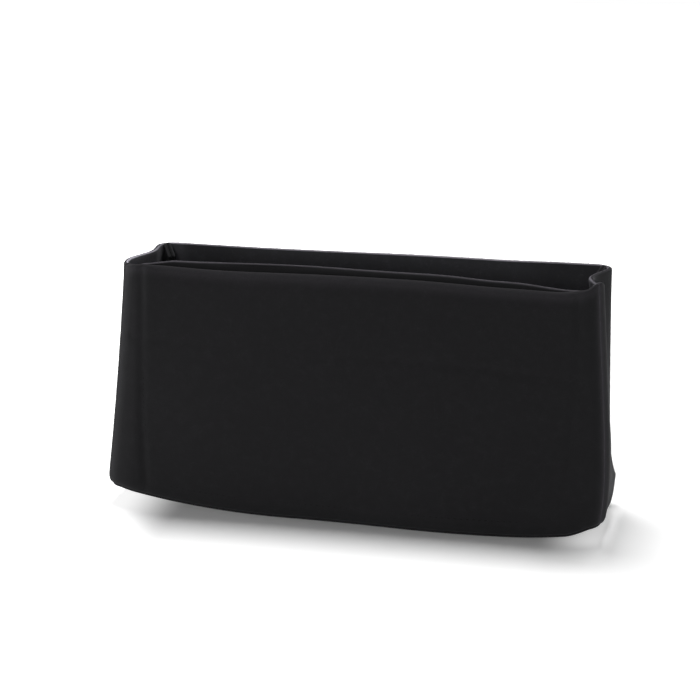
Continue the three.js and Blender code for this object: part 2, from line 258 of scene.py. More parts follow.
def lift(x, box):
    """Height of the underside at x: nothing over the flat middle, then a power curve up to each end's
    corners."""
    left = (LEFT, box.left_rest, box.left_lift, box.left_curl)
    right = (RIGHT, box.right_rest, box.right_lift, box.right_curl)
    rise = 0
    for end, rest, height, power in (left, right):
        reach = half_length(end, 0, box) - box.corner_radius
        rise = rise + height * np.clip((end * x - rest) / (reach - rest), 0, 1) ** power
    return rise


def corner_lift(end, box):
    """Height of the underside at a pair of corners."""
    return box.left_lift if end == LEFT else box.right_lift


def long_x(q, z, box):
    """Place along a long wall: q runs from -1 to 1 over the straight run between its corners at height z."""
    return q * (side_length(q, z, box) - box.corner_radius)


def wall_relief(wall, q, z, box, pockets):
    """How far a long wall stands out from the straight line between its corners."""
    middle = np.maximum(0, 1 - q * q)
    up = np.clip(z / box.height, 0, 1)
    if wall == BACK:
        return back_relief(q, z, middle, up, box, pockets)
    return front_relief(q, z, middle, up, box, pockets)


def back_relief(q, z, middle, up, box, pockets):
    """The back wall's bow, less the valleys along the lines of stitching below the back pocket's mouth."""
    x = long_x(q, z, box)
    valleys = 0
    for side in back_stitch_places(pockets):
        line = side * (box.rim_length / 2 - pockets.margin)
        valleys = valleys + hill(x, line, STITCH_VALLEY_WIDTH)
    below = smooth(box.height - pockets.back_drop - z, 0, STITCH_VALLEY_WIDTH)
    return box.back_bow * middle * np.sin(np.pi * up) - STITCH_VALLEY_DEPTH * valleys * below


def front_relief(q, z, middle, up, box, pockets):
    """The front wall's lean, less the valleys along the lines of stitching and the faint crease left by
    folding, plus the swell between them, less the rim's roll inwards."""
    x = long_x(q, z, box)
    within = sewn_line(q, z, box, pockets) - np.abs(x)
    valley = hill(within, 0, STITCH_VALLEY_WIDTH) * smooth(z, *VALLEY_FOOT)
    valley = valley * np.where(q < 0, 1, RIGHT_VALLEY_SHARE)
    foot = hill(z - lift(x, box), FOOT_STITCH_HEIGHT, FOOT_VALLEY_WIDTH) * smooth(within, 0, FOOT_VALLEY_ENDS)
    wander = CREASE_WANDER * np.sin(x / CREASE_WANDER_LENGTH) - CREASE_TILT * x
    crease = hill(z, box.height - box.crease_drop + wander, CREASE_WIDTH)
    crease = crease * CREASE_DEPTH * mix(1, np.sin(x / CREASE_FADE_LENGTH), CREASE_FADE)
    swell = FRONT_SWELL * smooth(within, 0, SWELL_RAMP) * np.sin(np.pi * up) ** 2
    rolled = np.clip(1 - (rim_height(FRONT, q, box) - z) / RIM_ROLL_HEIGHT, 0, RIM_ROLL_MOST) ** 2
    roll = RIM_ROLL_DEPTH * rolled * smooth(1 - np.abs(q), 0, RIM_ROLL_ENDS)
    valleys = np.maximum(valley, FOOT_VALLEY_SHARE * foot)
    return -box.front_bow * middle * up**2 - STITCH_VALLEY_DEPTH * valleys - crease + swell - roll


def sewn_line(q, z, box, pockets):
    """Distance from the middle to the front pocket's upright line of stitching at height z. The lines do
    not flare with the corners: the left one draws in only at the foot, and the right one over most of the
    height."""
    low = down(z, box)
    left = LEFT_LINE_DRAW * smooth(low, *LEFT_LINE_RANGE)
    right = RIGHT_LINE_DRAW * smooth(low, *RIGHT_LINE_RANGE)
    return box.rim_length / 2 - pockets.margin - LINE_INSET - np.where(q < 0, left, right)


LINE_INSET = 0.9 * MM
LEFT_LINE_DRAW = 2.3 * MM
LEFT_LINE_RANGE = (0.65, 1)
RIGHT_LINE_DRAW = 4.6 * MM
RIGHT_LINE_RANGE = (0.1, 0.85)
STITCH_VALLEY_WIDTH = 1.9 * MM
STITCH_VALLEY_DEPTH = 0.6 * MM
RIGHT_VALLEY_SHARE = 0.5
VALLEY_FOOT = (6 * MM, 14 * MM)
FOOT_STITCH_HEIGHT = 7 * MM
FOOT_VALLEY_WIDTH = 2 * MM
FOOT_VALLEY_ENDS = 4 * MM
FOOT_VALLEY_SHARE = 0.7
CREASE_DEPTH = 0.4 * MM
CREASE_WIDTH = 2.2 * MM
CREASE_WANDER = 1.2 * MM
CREASE_WANDER_LENGTH = 23 * MM
CREASE_FADE = 0.4
CREASE_FADE_LENGTH = 31 * MM
CREASE_TILT = 0.02
FRONT_SWELL = 0.8 * MM
SWELL_RAMP = 30 * MM
RIM_ROLL_HEIGHT = 9 * MM
RIM_ROLL_DEPTH = 2.2 * MM
RIM_ROLL_MOST = 1.2
RIM_ROLL_ENDS = 0.15


def back_stitch_places(pockets):
    """The back pocket's upright lines of stitching, each as a share of its half length."""
    return [2 * i / pockets.compartments - 1 for i in range(pockets.compartments + 1)]


def rim_height(wall, q, box):
    """Height of a long wall's rim: nearly level at the back, and at the front a sag with a few dips in it."""
    if wall == BACK:
        return box.height + wave(q, *BACK_RIM_WAVE)
    ends = np.clip(1 - q * q, 0, 1)
    sag = dips(q, FRONT_RIM_DIPS, box.front_sag * ends)
    return box.height - sag * smooth(ends, 0, RIM_SAG_ENDS) - right_drop(q)


def right_drop(q):
    """How far the rim drops towards the front right corner."""
    return FRONT_RIGHT_DROP * smooth(q, *RIGHT_DROP_RANGE)


FRONT_RIM_DIPS = ((-0.62, 0.3, 1.1 * MM), (0.66, 0.3, 1.3 * MM), (0.88, 0.12, 0.9 * MM))
BACK_RIM_WAVE = (0.4 * MM, 3.1, 0.6)
FRONT_RIGHT_DROP = 0.9 * MM
RIGHT_DROP_RANGE = (0.2, 1)
RIM_SAG_ENDS = 0.2


def place_long(wall, q, z, inset, box, pockets):
    """A long wall's point at q and height z, inset from its outer face."""
    y = half_depth(wall, z, box) + wall_relief(wall, q, z, box, pockets) - inset
    return np.stack(np.broadcast_arrays(long_x(q, z, box), wall * y, z), -1)


def place_gusset(end, q, z, inset, box):
    """A gusset's point: q runs from the front corner (-1) to the back one (1), and the middle folds in at the
    rim."""
    deepest = box.left_fold if end == LEFT else box.right_fold
    fold = deepest * smooth(z, box.fold_start, box.height) * np.clip(1 - q * q, 0, 1) ** 2
    run = np.where(q < 0, half_depth(FRONT, z, box), half_depth(BACK, z, box)) - box.corner_radius
    x = half_length(end, z, box) - fold - inset
    return np.stack(np.broadcast_arrays(end * x, q * run, z), -1)


def place_corner(wall, end, turn, z, out, aside, box):
    """A point by the diagonal of an upright corner: out along it from the corner's centre, aside across it,
    towards the long wall if turn is 1 and towards the gusset if it is -1."""
    x = half_length(end, z, box) - box.corner_radius + (out - turn * aside) * DIAGONAL
    y = half_depth(wall, z, box) - box.corner_radius + (out + turn * aside) * DIAGONAL
    return np.stack(np.broadcast_arrays(end * x, wall * y, z), -1)


DIAGONAL = np.sqrt(0.5)


def edge_steps(radius, count):
    """Distances from an edge and the share of the thickness there, for an edge rounded as a quarter
    ellipse."""
    angle = np.linspace(0, QUARTER_TURN, count)
    return radius * (1 - np.cos(angle)), np.sin(angle)


def both_ways(steps, half):
    """Places from -half to half, from the distances that the first of them have from the end."""
    return np.concatenate([steps - half, (half - steps)[-2::-1]])


def rounded_steps(low, high, near, count):
    """Places from low to high across a sheet, evenly spaced between the steps round its two edges."""
    between = np.linspace(low + near[-1], high - near[-1], count)[1:-1]
    return np.concatenate([low + near, between, high - near[::-1]])


def rounded_share(count, near):
    """Share of the thickness over a count of places, when the first and last ones run round an edge."""
    share = np.ones(count)
    share[: len(near)], share[-len(near) :] = near, near[::-1]
    return share


def seam_turn(box):
    """Angle round the floor's edge between the middle of the seam there and the panels on its sides."""
    return np.arcsin(box.seam_gap / 2 / (box.edge_radius - box.felt))


def wall_rows(top, foot, box, rim_round):
    """Rows of a wall's profile from the rim down and round the floor's edge to the seam, evenly spaced
    along it but closer at both ends. Gives [z, inset] of the outer face and of the inner face, and the
    share of the thickness."""
    middle_radius = box.edge_radius - box.felt / 2
    centre = foot + box.edge_radius
    upright = top - centre
    total = upright + middle_radius * (EIGHTH_TURN - seam_turn(box))
    near, near_share = edge_steps(rim_round, RIM_STEPS)
    far, far_share = edge_steps(box.felt / 2, SEAM_STEPS)
    between = np.linspace(0, 1, WALL_ROWS)[1:-1]
    along = np.concatenate(
        [
            np.broadcast_to(near, (*np.shape(total), len(near))),
            near[-1] + between * (total - near[-1] - far[-1])[..., None],
            total[..., None] - far[::-1],
        ],
        -1,
    )
    share = np.concatenate([near_share, np.ones(len(between)), far_share[::-1]])
    angle = np.maximum(0, along - upright[..., None]) / middle_radius
    straight = np.minimum(along, upright[..., None])
    level = np.where(angle > 0, centre[..., None], top[..., None] - straight)
    outer, inner = (
        (level - radius * np.sin(angle), box.edge_radius - radius * np.cos(angle))
        for radius in (box.edge_radius, box.edge_radius - box.felt)
    )
    return outer, inner, share


WALL_ROWS = 86
RIM_STEPS = 7
SEAM_STEPS = 5


def corner_lines(wall, end, turn, box, rim_round):
    """A panel's lines from the free edge of its seam allowance, out along the corner's diagonal, round
    the seam and on to the straight run. The allowance is a tongue of squeezed felt that stops short of
    the bottom."""
    foot = np.array([corner_lift(end, box)])
    top = np.array([box.height]) - (FRONT_RIGHT_DROP if (wall, end) == (FRONT, RIGHT) else 0)
    outer, inner, share = wall_rows(top, foot, box, rim_round)
    gap = box.seam_gap / 2
    inside = gap + box.felt * ALLOWANCE_SQUEEZE
    reach, inner_reach = box.corner_radius - outer[1], box.corner_radius - inner[1]

    def place(z, out, aside):
        return place_corner(wall, end, turn, z, out, aside, box)

    free_foot = foot + box.edge_radius
    tip = box.corner_radius - box.felt - box.allowance
    below = smooth(free_foot - outer[0], 0, ALLOWANCE_FOOT_RAMP)
    free_z = np.maximum(outer[0], free_foot) - ALLOWANCE_FOOT * below
    free_z = free_z - ALLOWANCE_BEVEL * smooth(free_z, top - ALLOWANCE_BEVEL_RAMP, top)
    neck_angle = np.arcsin(inside / inner_reach)
    neck = (place(inner[0], inner_reach, gap), place(inner[0], inner_reach * np.cos(neck_angle), inside))
    free = (place(free_z, tip, gap), place(free_z, tip, inside))
    tip_steps, tip_share = edge_steps(ALLOWANCE_TIP / box.allowance, 5)
    along = np.concatenate([tip_steps, np.linspace(tip_steps[-1], 1, 5)[1:]])
    tongue = [mix(f, n, along[:, None, None]) for f, n in zip(free, neck)]

    first = np.arcsin((gap + SEAM_ROUNDING) / box.corner_radius)
    rounding = np.linspace(0, 1, 6)[:, None]
    sunk = SEAM_ROUNDING / box.felt
    on_seam = np.full(reach.shape[1], gap)
    start = np.stack([mix(reach, inner_reach, sunk)[0], on_seam])
    knee = np.stack([reach[0], on_seam])
    finish = np.stack([reach[0] * np.cos(first), reach[0] * np.sin(first)])
    bend = [bend_through(*points, rounding) for points in zip(start, knee, finish)]
    bend_z = mix(mix(outer[0], inner[0], sunk), outer[0], rounding)
    arc = np.linspace(first, EIGHTH_TURN, 8)[1:-1, None]
    outer_arc = place(outer[0], reach * np.cos(arc), reach * np.sin(arc))
    count = len(rounding) + len(arc)
    inner_arc = mix(neck_angle, EIGHTH_TURN, np.arange(1, count + 1)[:, None] / (count + 1))
    inner_side = place(inner[0], inner_reach * np.cos(inner_arc), inner_reach * np.sin(inner_arc))
    lines_share = np.ones(len(along) + count)
    lines_share[: len(tip_share)] = tip_share
    return (
        np.concatenate([tongue[0], place(bend_z, *bend), outer_arc]),
        np.concatenate([tongue[1], inner_side]),
        lines_share[:, None] * share,
    )


def bend_through(start, knee, finish, share):
    """A quadratic curve from start to finish that is drawn towards the knee."""
    return (1 - share) ** 2 * start + 2 * share * (1 - share) * knee + share**2 * finish


ALLOWANCE_SQUEEZE = 0.8
ALLOWANCE_FOOT = 1.2 * MM
ALLOWANCE_FOOT_RAMP = 4 * MM
ALLOWANCE_BEVEL = 6 * MM
ALLOWANCE_BEVEL_RAMP = 14 * MM
ALLOWANCE_TIP = 0.5 * MM
SEAM_ROUNDING = 0.3 * MM


# How the soft box has settled


def settle(points, box):
    """Moves points of the insert as soft felt settles, by smooth pushes that fade out. Along X the back
    left corner is tucked in at the rim, the front right edge leans out lower down, and the right feet and
    the front left corner draw in. Along Y the foot bulges forward right of the middle, and the front left
    corner is rolled to a larger radius. Along Z the front right corner's seam stands up and the front
    left one drops, the back right corner rises a little, and the right feet curl up."""
    x, y, z = np.moveaxis(points, -1, 0)
    low = down(z, box)
    right, left = smooth(x, *END_PART), smooth(-x, *END_PART)
    front, back = smooth(-y, *FRONT_PART), smooth(y, *BACK_PART)

    tuck = BACK_LEFT_TUCK * smooth(-x, *TUCK_LENGTH) * smooth(y, *TUCK_DEPTH)
    tuck = tuck * smooth(z, TUCK_START * box.height, box.height)
    lean = FRONT_RIGHT_LEAN * low**1.5 * (1 - low**4) - FOOT_DRAW * low**10 - RIM_DRAW * (1 - low) ** 6
    lean = lean * right * front - ROLL_DRAW * left * front - BACK_FOOT_DRAW * low**8 * right * back

    bulge = FOOT_BULGE * hill(x, *BULGE_PLACE) * low**2 * smooth(-y, 0, box.rim_depth / 2)
    rolled = np.clip(1 - (half_length(LEFT, z, box) + x) / ROLL_REACH, 0, 1) ** 1.6
    face = half_depth(FRONT, z, box)
    roll = ROLL_DEPTH * rolled * smooth(-y, face - ROLL_FADE, face)

    corner = CORNER_PEAK * hill(x, *PEAK_LENGTH) * hill(y, *PEAK_DEPTH)
    corner = corner - CORNER_DROP * hill(x, *DROP_LENGTH) * hill(y, *DROP_DEPTH)
    corner = corner + BACK_RIGHT_RISE * smooth(x, *RISE_LENGTH) * smooth(y, *RISE_DEPTH)
    curl = BACK_RIGHT_CURL * smooth(x, *BACK_CURL_LENGTH) * back
    curl = curl + RIGHT_FOOT_CURL * smooth(x, *FOOT_CURL_LENGTH)
    raised = corner * smooth(z, box.height - CORNER_HEIGHT, box.height) + curl * low**4
    return points + np.stack([tuck + lean, roll - bulge, raised], -1)


END_PART = (60 * MM, 112 * MM)
FRONT_PART = (-24 * MM, 20 * MM)
BACK_PART = (-10 * MM, 25 * MM)
BACK_LEFT_TUCK = 4.6 * MM
TUCK_LENGTH = (40 * MM, 112 * MM)
TUCK_DEPTH = (-14 * MM, 10 * MM)
TUCK_START = 0.4
FRONT_RIGHT_LEAN = 7 * MM
FOOT_DRAW = 4.3 * MM
RIM_DRAW = 1.2 * MM
BACK_FOOT_DRAW = 3.2 * MM
FOOT_BULGE = 3.2 * MM
BULGE_PLACE = (45 * MM, 40 * MM)
ROLL_DRAW = 1.3 * MM
ROLL_REACH = 16 * MM
ROLL_DEPTH = 4 * MM
ROLL_FADE = 18 * MM
CORNER_HEIGHT = 25 * MM
CORNER_PEAK = 4.5 * MM
PEAK_LENGTH = (118.5 * MM, 4.5 * MM)
PEAK_DEPTH = (-25 * MM, 8 * MM)
CORNER_DROP = 1.6 * MM
DROP_LENGTH = (-120 * MM, 9 * MM)
DROP_DEPTH = (-27 * MM, 9 * MM)
BACK_RIGHT_RISE = 0.6 * MM
RISE_LENGTH = (60 * MM, 100 * MM)
RISE_DEPTH = (0, 20 * MM)
BACK_RIGHT_CURL = 1 * MM
BACK_CURL_LENGTH = (80 * MM, 120 * MM)
RIGHT_FOOT_CURL = 4.2 * MM
FOOT_CURL_LENGTH = (110 * MM, 130 * MM)


# Meshes


def add_object(name, vertices, faces, body, slot, attributes=()):
    """A mesh object from arrays, with its faces turned outwards, riding on a body of the frame."""
    faces = np.asarray(faces)
    corners = vertices[faces]
    volume = np.einsum("ij,ij->", corners[:, 0], np.cross(corners[:, 1], corners[:, 2]))
    if faces.shape[1] == 4:
        volume += np.einsum("ij,ij->", corners[:, 0], np.cross(corners[:, 2], corners[:, 3]))
    if volume < 0:
        faces = faces[:, ::-1]
    used, numbers = np.unique(faces, return_inverse=True)
    faces = numbers.reshape(faces.shape)
    mesh = bpy.data.meshes.new(name)
    mesh.vertices.add(len(used))
    mesh.vertices.foreach_set("co", vertices[used].astype(np.float32).ravel())
    mesh.loops.add(faces.size)
    mesh.loops.foreach_set("vertex_index", faces.astype(np.int32).ravel())
    mesh.polygons.add(len(faces))
    mesh.polygons.foreach_set("loop_start", np.arange(0, faces.size, faces.shape[1], dtype=np.int32))
    mesh.polygons.foreach_set("use_smooth", np.ones(len(faces), dtype=bool))
    for label, values in attributes:
        layer = mesh.attributes.new(label, "FLOAT", "POINT")
        layer.data.foreach_set("value", np.asarray(values)[used].astype(np.float32))
    mesh.update(calc_edges=True)
    mesh.validate()
    thing = bpy.data.objects.new(name, mesh)
    bpy.context.scene.collection.objects.link(thing)
    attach(thing, body)
    return thing


def grid_faces(numbers):
    """Quads between neighbouring places of one or more grids of vertex numbers."""
    low, high = numbers[..., :-1, :], numbers[..., 1:, :]
    return np.stack([low[..., :-1], low[..., 1:], high[..., 1:], high[..., :-1]], -1).reshape(-1, 4)


def closed_sheet(middle, half, meeting, closed_round=False):
    """Vertices and quads of a sheet from grids of its middle and of half its thickness: an outer and an inner
    face that share their vertices where meeting is true. The grid's ends join if it is closed round."""
    points = np.concatenate([(middle + half).reshape(-1, 3), (middle - half).reshape(-1, 3)])
    first = np.arange(meeting.size).reshape(meeting.shape)
    second = np.where(meeting, first, first + meeting.size)
    if closed_round:
        first, second = (np.concatenate([numbers, numbers[:1]]) for numbers in (first, second))
    return points, np.concatenate([grid_faces(first), grid_faces(second)[:, ::-1]])


def felt_relief(points):
    """The slow unevenness of soft felt: two sizes of ripple, in all at most a fifth of a millimetre deep."""
    return sum(depth * ripple(points, wavelength, seed) for depth, wavelength, seed in FELT_RIPPLES)


FELT_RIPPLES = ((0.16 * MM, 46 * MM, 5), (0.05 * MM, 9 * MM, 6))


def cut_edge(share):
    """How much of a cut edge a place is: 1 where the thickness falls to 0, and 0 on the faces."""
    return 1 - smooth(share, 0.75, 1.0)


def felt_sheet(name, outer, inner, share, body, slot, pale, inside=(0, 1)):
    """A closed sheet from grids of its outer and inner faces. Where the share of the thickness falls to
    0, along the border, the two faces meet. The pale grid says how strongly the colour of cut felt shows,
    also as painted highlights, and inside how much painted inner light, a gain on the colour, the outer
    and the inner face take."""
    outer, inner = (settle(face, bpy.context.scene.felt_box) for face in (outer, inner))
    middle, half = (outer + inner) / 2, (outer - inner) / 2
    middle = middle + unit(half) * felt_relief(middle)[..., None]
    border = np.ones(share.shape, bool)
    border[1:-1, 1:-1] = False
    points, faces = closed_sheet(middle, half * share[..., None], border)
    lit = np.concatenate([np.broadcast_to(part, share.shape).ravel() for part in inside])
    marks = [("cut_edge", np.tile(pale.ravel(), 2)), ("inside", lit)]
    return add_object(name, points, faces, body, slot, marks)


def wall_panel(name, node, kind, side, box, pockets, rim_round, cut):
    """One wall of the box: a corner, the straight run and the other corner, with the allowances turned
    in. Only its rim is a cut edge that shows. In the cut-edge colour, the front wall takes a painted
    highlight just below its rounded rim, and the front right seam a painted highlight along its ridge."""
    if kind == "long":
        q = np.linspace(-1, 1, LONG_COLUMNS)
        foot, top = lift(long_x(q, 0, box), box), rim_height(side, q, box)
        corners = [corner_lines(side, end, 1, box, rim_round) for end in (LEFT, RIGHT)]
    else:
        q = np.linspace(-1, 1, GUSSET_COLUMNS)
        foot, top = np.full(q.shape, corner_lift(side, box)), np.full(q.shape, box.height)
        corners = [corner_lines(wall, side, -1, box, rim_round) for wall in (FRONT, BACK)]
        if side == RIGHT:
            top = top - right_drop(-q)
    outer, inner, share = wall_rows(top, foot, box, rim_round)
    columns = q[:, None]
    if kind == "long":
        faces = [place_long(side, columns, z, inset, box, pockets) for z, inset in (outer, inner)]
    else:
        faces = [place_gusset(side, columns, z, inset, box) for z, inset in (outer, inner)]
    (first_out, first_in, first_share), (last_out, last_in, last_share) = corners
    outer_face = np.concatenate([first_out, faces[0], last_out[::-1]])
    inner_face = np.concatenate([first_in, faces[1], last_in[::-1]])
    shares = np.concatenate([first_share, np.tile(share, (len(q), 1)), last_share[::-1]])

    pale = cut * cut_edge(shares) * (np.arange(len(share)) < len(share) // 2)
    pale[:SEAM_LINE], pale[-SEAM_LINE:] = 0, 0
    # Painted highlight along the ridge of the front right seam, in the cut-edge colour.
    ridge = SEAM_PAINTED_HIGHLIGHT * hill(np.arange(len(first_out)), *SEAM_PAINTED_HIGHLIGHT_LINES)[:, None]
    by_ridge = slice(-len(ridge), None) if kind == "long" else slice(len(ridge))
    if (kind, side) == ("long", FRONT):
        fall = outer_face[..., 2].max(1, keepdims=True) - outer_face[..., 2]
        # Painted highlight just below the front wall's rounded rim, where light from above falls.
        pale = np.maximum(pale, RIM_PAINTED_HIGHLIGHT * hill(fall, *RIM_PAINTED_HIGHLIGHT_FALL))
        pale[by_ridge] = np.maximum(pale[by_ridge], ridge[::-1])
    elif (kind, side) == ("gusset", RIGHT):
        pale[by_ridge] = np.maximum(pale[by_ridge], ridge)
    inside = inner_light(kind, side, outer_face)
    panel = felt_sheet(name, outer_face, inner_face, shares, BOX_BODY, "wall_felt", pale, inside)
    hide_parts(node)
    return panel


def inner_light(kind, side, face):
    """How much painted inner light a wall's outer and inner faces take: more down the back wall, in its
    middle and by its left corner, most on the left gusset's front half, and little on the turned-in
    allowances. The front wall's inner face takes none at its rim, and its outer face takes painted shade
    just under the rim."""
    fall = face[..., 2].max(1, keepdims=True) - face[..., 2]
    outer, inner = np.zeros(fall.shape), np.ones(fall.shape)
    x, y = face[..., 0], face[..., 1]
    if (kind, side) == ("long", FRONT):
        # Painted shade darkens the outer face at the rim; painted light on the inner face starts a little
        # below it.
        outer = -RIM_SHADE * hill(fall, 0, RIM_SHADE_FALL)
        inner = smooth(fall, *FRONT_LIGHT_FALL)
    elif (kind, side) == ("long", BACK):
        middle = smooth(x, *MIDDLE_FROM_LEFT) * smooth(x, *MIDDLE_FROM_RIGHT)
        inner = (1 + MIDDLE_LIGHT * middle) * mix(1, DEPTH_LIGHT, smooth(fall, *DEPTH_LIGHT_FALL))
        inner = inner + CORNER_LIGHT * smooth(x, *CORNER_LIGHT_LENGTH)
    elif (kind, side) == ("gusset", LEFT):
        inner = mix(GUSSET_LIGHT, GUSSET_BACK_LIGHT, smooth(y, *GUSSET_LIGHT_DEPTH))
    for light, share in ((outer, 0), (inner, ALLOWANCE_LIGHT)):
        light[:SEAM_LINE], light[-SEAM_LINE:] = share, share
    return outer, inner


# Gains of painted light and shade on the felt's colour, standing in for lamp light.
RIM_SHADE = 0.05
RIM_SHADE_FALL = 1.3 * MM
RIM_PAINTED_HIGHLIGHT = 0.19
RIM_PAINTED_HIGHLIGHT_FALL = (1.2 * MM, 3.2 * MM)
FRONT_LIGHT_FALL = (0.6 * MM, 3 * MM)
MIDDLE_LIGHT = 0.42
MIDDLE_FROM_LEFT = (-90 * MM, -60 * MM)
MIDDLE_FROM_RIGHT = (95 * MM, 70 * MM)
DEPTH_LIGHT = 1.75
DEPTH_LIGHT_FALL = (2 * MM, 20 * MM)
CORNER_LIGHT = 0.8
CORNER_LIGHT_LENGTH = (-103 * MM, -110 * MM)
GUSSET_LIGHT = 4.5
GUSSET_BACK_LIGHT = 1.8
GUSSET_LIGHT_DEPTH = (-20 * MM, 15 * MM)
ALLOWANCE_LIGHT = 0.3
LONG_COLUMNS = 190
GUSSET_COLUMNS = 48
SEAM_LINE = 9
SEAM_PAINTED_HIGHLIGHT = 0.75
SEAM_PAINTED_HIGHLIGHT_LINES = (SEAM_LINE + 2, 3)


def bottom_columns():
    """The columns round the floor, as kind, wall, end and place, closed round."""
    long_q = np.linspace(-1, 1, LONG_COLUMNS)
    gusset_q = np.linspace(-1, 1, GUSSET_COLUMNS)
    angles = np.linspace(0, QUARTER_TURN, 12)[1:-1]
    return [
        ("long", FRONT, 0, long_q),
        ("corner", FRONT, RIGHT, angles[::-1]),
        ("gusset", 0, RIGHT, gusset_q),
        ("corner", BACK, RIGHT, angles),
        ("long", BACK, 0, long_q[::-1]),
        ("corner", BACK, LEFT, angles[::-1]),
        ("gusset", 0, LEFT, gusset_q[::-1]),
        ("corner", FRONT, LEFT, angles),
    ]


def bottom_curl(rise, inset, box, pockets):
    """One face of the bottom where it curls up round the floor's edge: each place stands above the
    underside by its rise, and in from the walls' outer faces by its inset."""
    loop = []
    for kind, wall, end, place in bottom_columns():
        column = place[:, None]
        if kind == "long":
            z = lift(long_x(column, 0, box), box) + rise
            loop.append(place_long(wall, column, z, inset, box, pockets))
        elif kind == "gusset":
            loop.append(place_gusset(end, column, corner_lift(end, box) + rise, inset, box))
        else:
            out, turn = box.corner_radius - inset, column - EIGHTH_TURN
            z = corner_lift(end, box) + rise
            loop.append(place_corner(wall, end, 1, z, out * np.cos(turn), out * np.sin(turn), box))
    return np.concatenate(loop)


def bottom_panel(box, pockets):
    """The bottom: from the seam half way round the floor's edge, down on to the flat and across to the middle
    line. Its rings shrink towards that line, and each place takes its height from the lift at its own x."""
    seam = EIGHTH_TURN + seam_turn(box)
    near, near_share = edge_steps(box.felt / 2 / (box.edge_radius - box.felt / 2), SEAM_STEPS)
    onward = np.linspace(seam + near[-1], QUARTER_TURN, 7)[1:]
    angle = np.concatenate([seam + near, onward])
    inward = np.linspace(0, 1, 16)[1:, None]
    spine = box.rim_depth / 2
    low, high = spine - half_length(LEFT, 0, box), half_length(RIGHT, 0, box) - spine
    faces = []
    for radius in (box.edge_radius, box.edge_radius - box.felt):
        rise, inset = box.edge_radius - radius * np.sin(angle), box.edge_radius - radius * np.cos(angle)
        curl = bottom_curl(rise, inset, box, pockets)
        edge = curl[:, -1]
        target = np.stack([np.clip(edge[:, 0], low, high), np.zeros(len(edge))], -1)
        flat = mix(edge[:, None, :2], target[:, None], inward)
        level = smooth(inward[:, 0], 0, BOTTOM_BLEND)
        height = mix(edge[:, None, 2], lift(flat[..., 0], box) + rise[-1], level)
        grid = np.concatenate([curl, np.concatenate([flat, height[..., None]], -1)], 1)
        faces.append(settle(grid, box))
    outer, inner = faces
    share = np.concatenate([near_share, np.ones(len(onward) + len(inward))])
    at_seam = np.zeros(outer.shape[:2], bool)
    at_seam[:, 0] = True
    half = (outer - inner) / 2 * share[:, None]
    points, quads = closed_sheet((outer + inner) / 2, half, at_seam, closed_round=True)
    # The inner face of the bottom takes the painted inner light.
    inside = np.repeat([0, 1], at_seam.size)
    marks = [("cut_edge", 0 * inside), ("inside", inside)]
    panel = add_object("bottom_felt", points, quads, BOX_BODY, "wall_felt", marks)
    weld(panel)
    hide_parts("bottom_panel")
    return panel


BOTTOM_BLEND = 0.3


def weld(thing):
    """Merges places that coincide, such as where the two halves of the bottom meet along its middle line."""
    build = bmesh.new()
    build.from_mesh(thing.data)
    bmesh.ops.remove_doubles(build, verts=build.verts, dist=WELD_DISTANCE)
    bmesh.ops.dissolve_degenerate(build, edges=build.edges, dist=WELD_DISTANCE)
    build.to_mesh(thing.data)
    build.free()


WELD_DISTANCE = 0.002 * MM


# Pockets


def pocket_plateau(x, edge, pockets):
    """How fully the front pocket stands open at x: 0 at its sewn sides, 1 beyond the ramps."""
    return smooth(edge + x, 0, pockets.left_ramp) * smooth(edge - x, 0, pockets.right_ramp)


def mouth_height(wall, share, box, pockets):
    """Height of a pocket's mouth: level at the back, and at the front a crown above the rim where the pocket
    stands open, with a slow wave and a few dips in it."""
    if wall == BACK:
        return np.full(np.shape(share), box.height - pockets.back_drop)
    half = box.rim_length / 2
    x = share * (half - pockets.margin) / (half - box.corner_radius) * half
    plateau = pocket_plateau(x, half - pockets.margin, pockets)
    crown = pockets.crown * plateau * mix(LEFT_CROWN, 1, smooth(share, *CROWN_RANGE))
    uneven = wave(share, *MOUTH_WAVE) - dips(share, MOUTH_DIPS)
    return box.height + MOUTH_DROP * (1 - plateau) + crown + uneven - right_drop(share)


MOUTH_DROP = -0.4 * MM
MOUTH_WAVE = (0.5 * MM, 2.6, 2.2)
MOUTH_DIPS = ((0.05, 0.5, 1.1 * MM), (0.62, 0.17, 1.3 * MM), (0.9, 0.12, 0.6 * MM))
LEFT_CROWN = 0.3
CROWN_RANGE = (-0.8, -0.2)


def place_pocket(wall, share, up, inset, box, pockets):
    """A pocket's point: share runs from -1 to 1 along it, up from 0 at its foot to 1 at its mouth. It
    stands off the wall's inner face by a gap that grows from the foot upwards."""
    foot_x = share * (half_length(LEFT, 0, box) - pockets.margin)
    low = lift(foot_x, box) + box.edge_radius + pockets.foot
    z = mix(low, mouth_height(wall, share, box, pockets), up)
    edge = side_length(share, z, box) - pockets.margin
    x = share * edge
    if wall == FRONT:
        gap = pockets.ease * pocket_plateau(x, edge, pockets) + POCKET_SLACK * hill(share, *SLACK_PLACE)
    else:
        gap = pockets.back_ease * np.sin(np.pi * (share + 1) / 2 * pockets.compartments) ** 2
    inset = box.felt + box.seam_gap + gap * smooth(up, 0, POCKET_PUFF) + inset
    return place_long(wall, x / (edge + pockets.margin - box.corner_radius), z, inset, box, pockets)


POCKET_SLACK = 0.8 * MM
SLACK_PLACE = (-0.2, 0.3)
POCKET_PUFF = 0.35


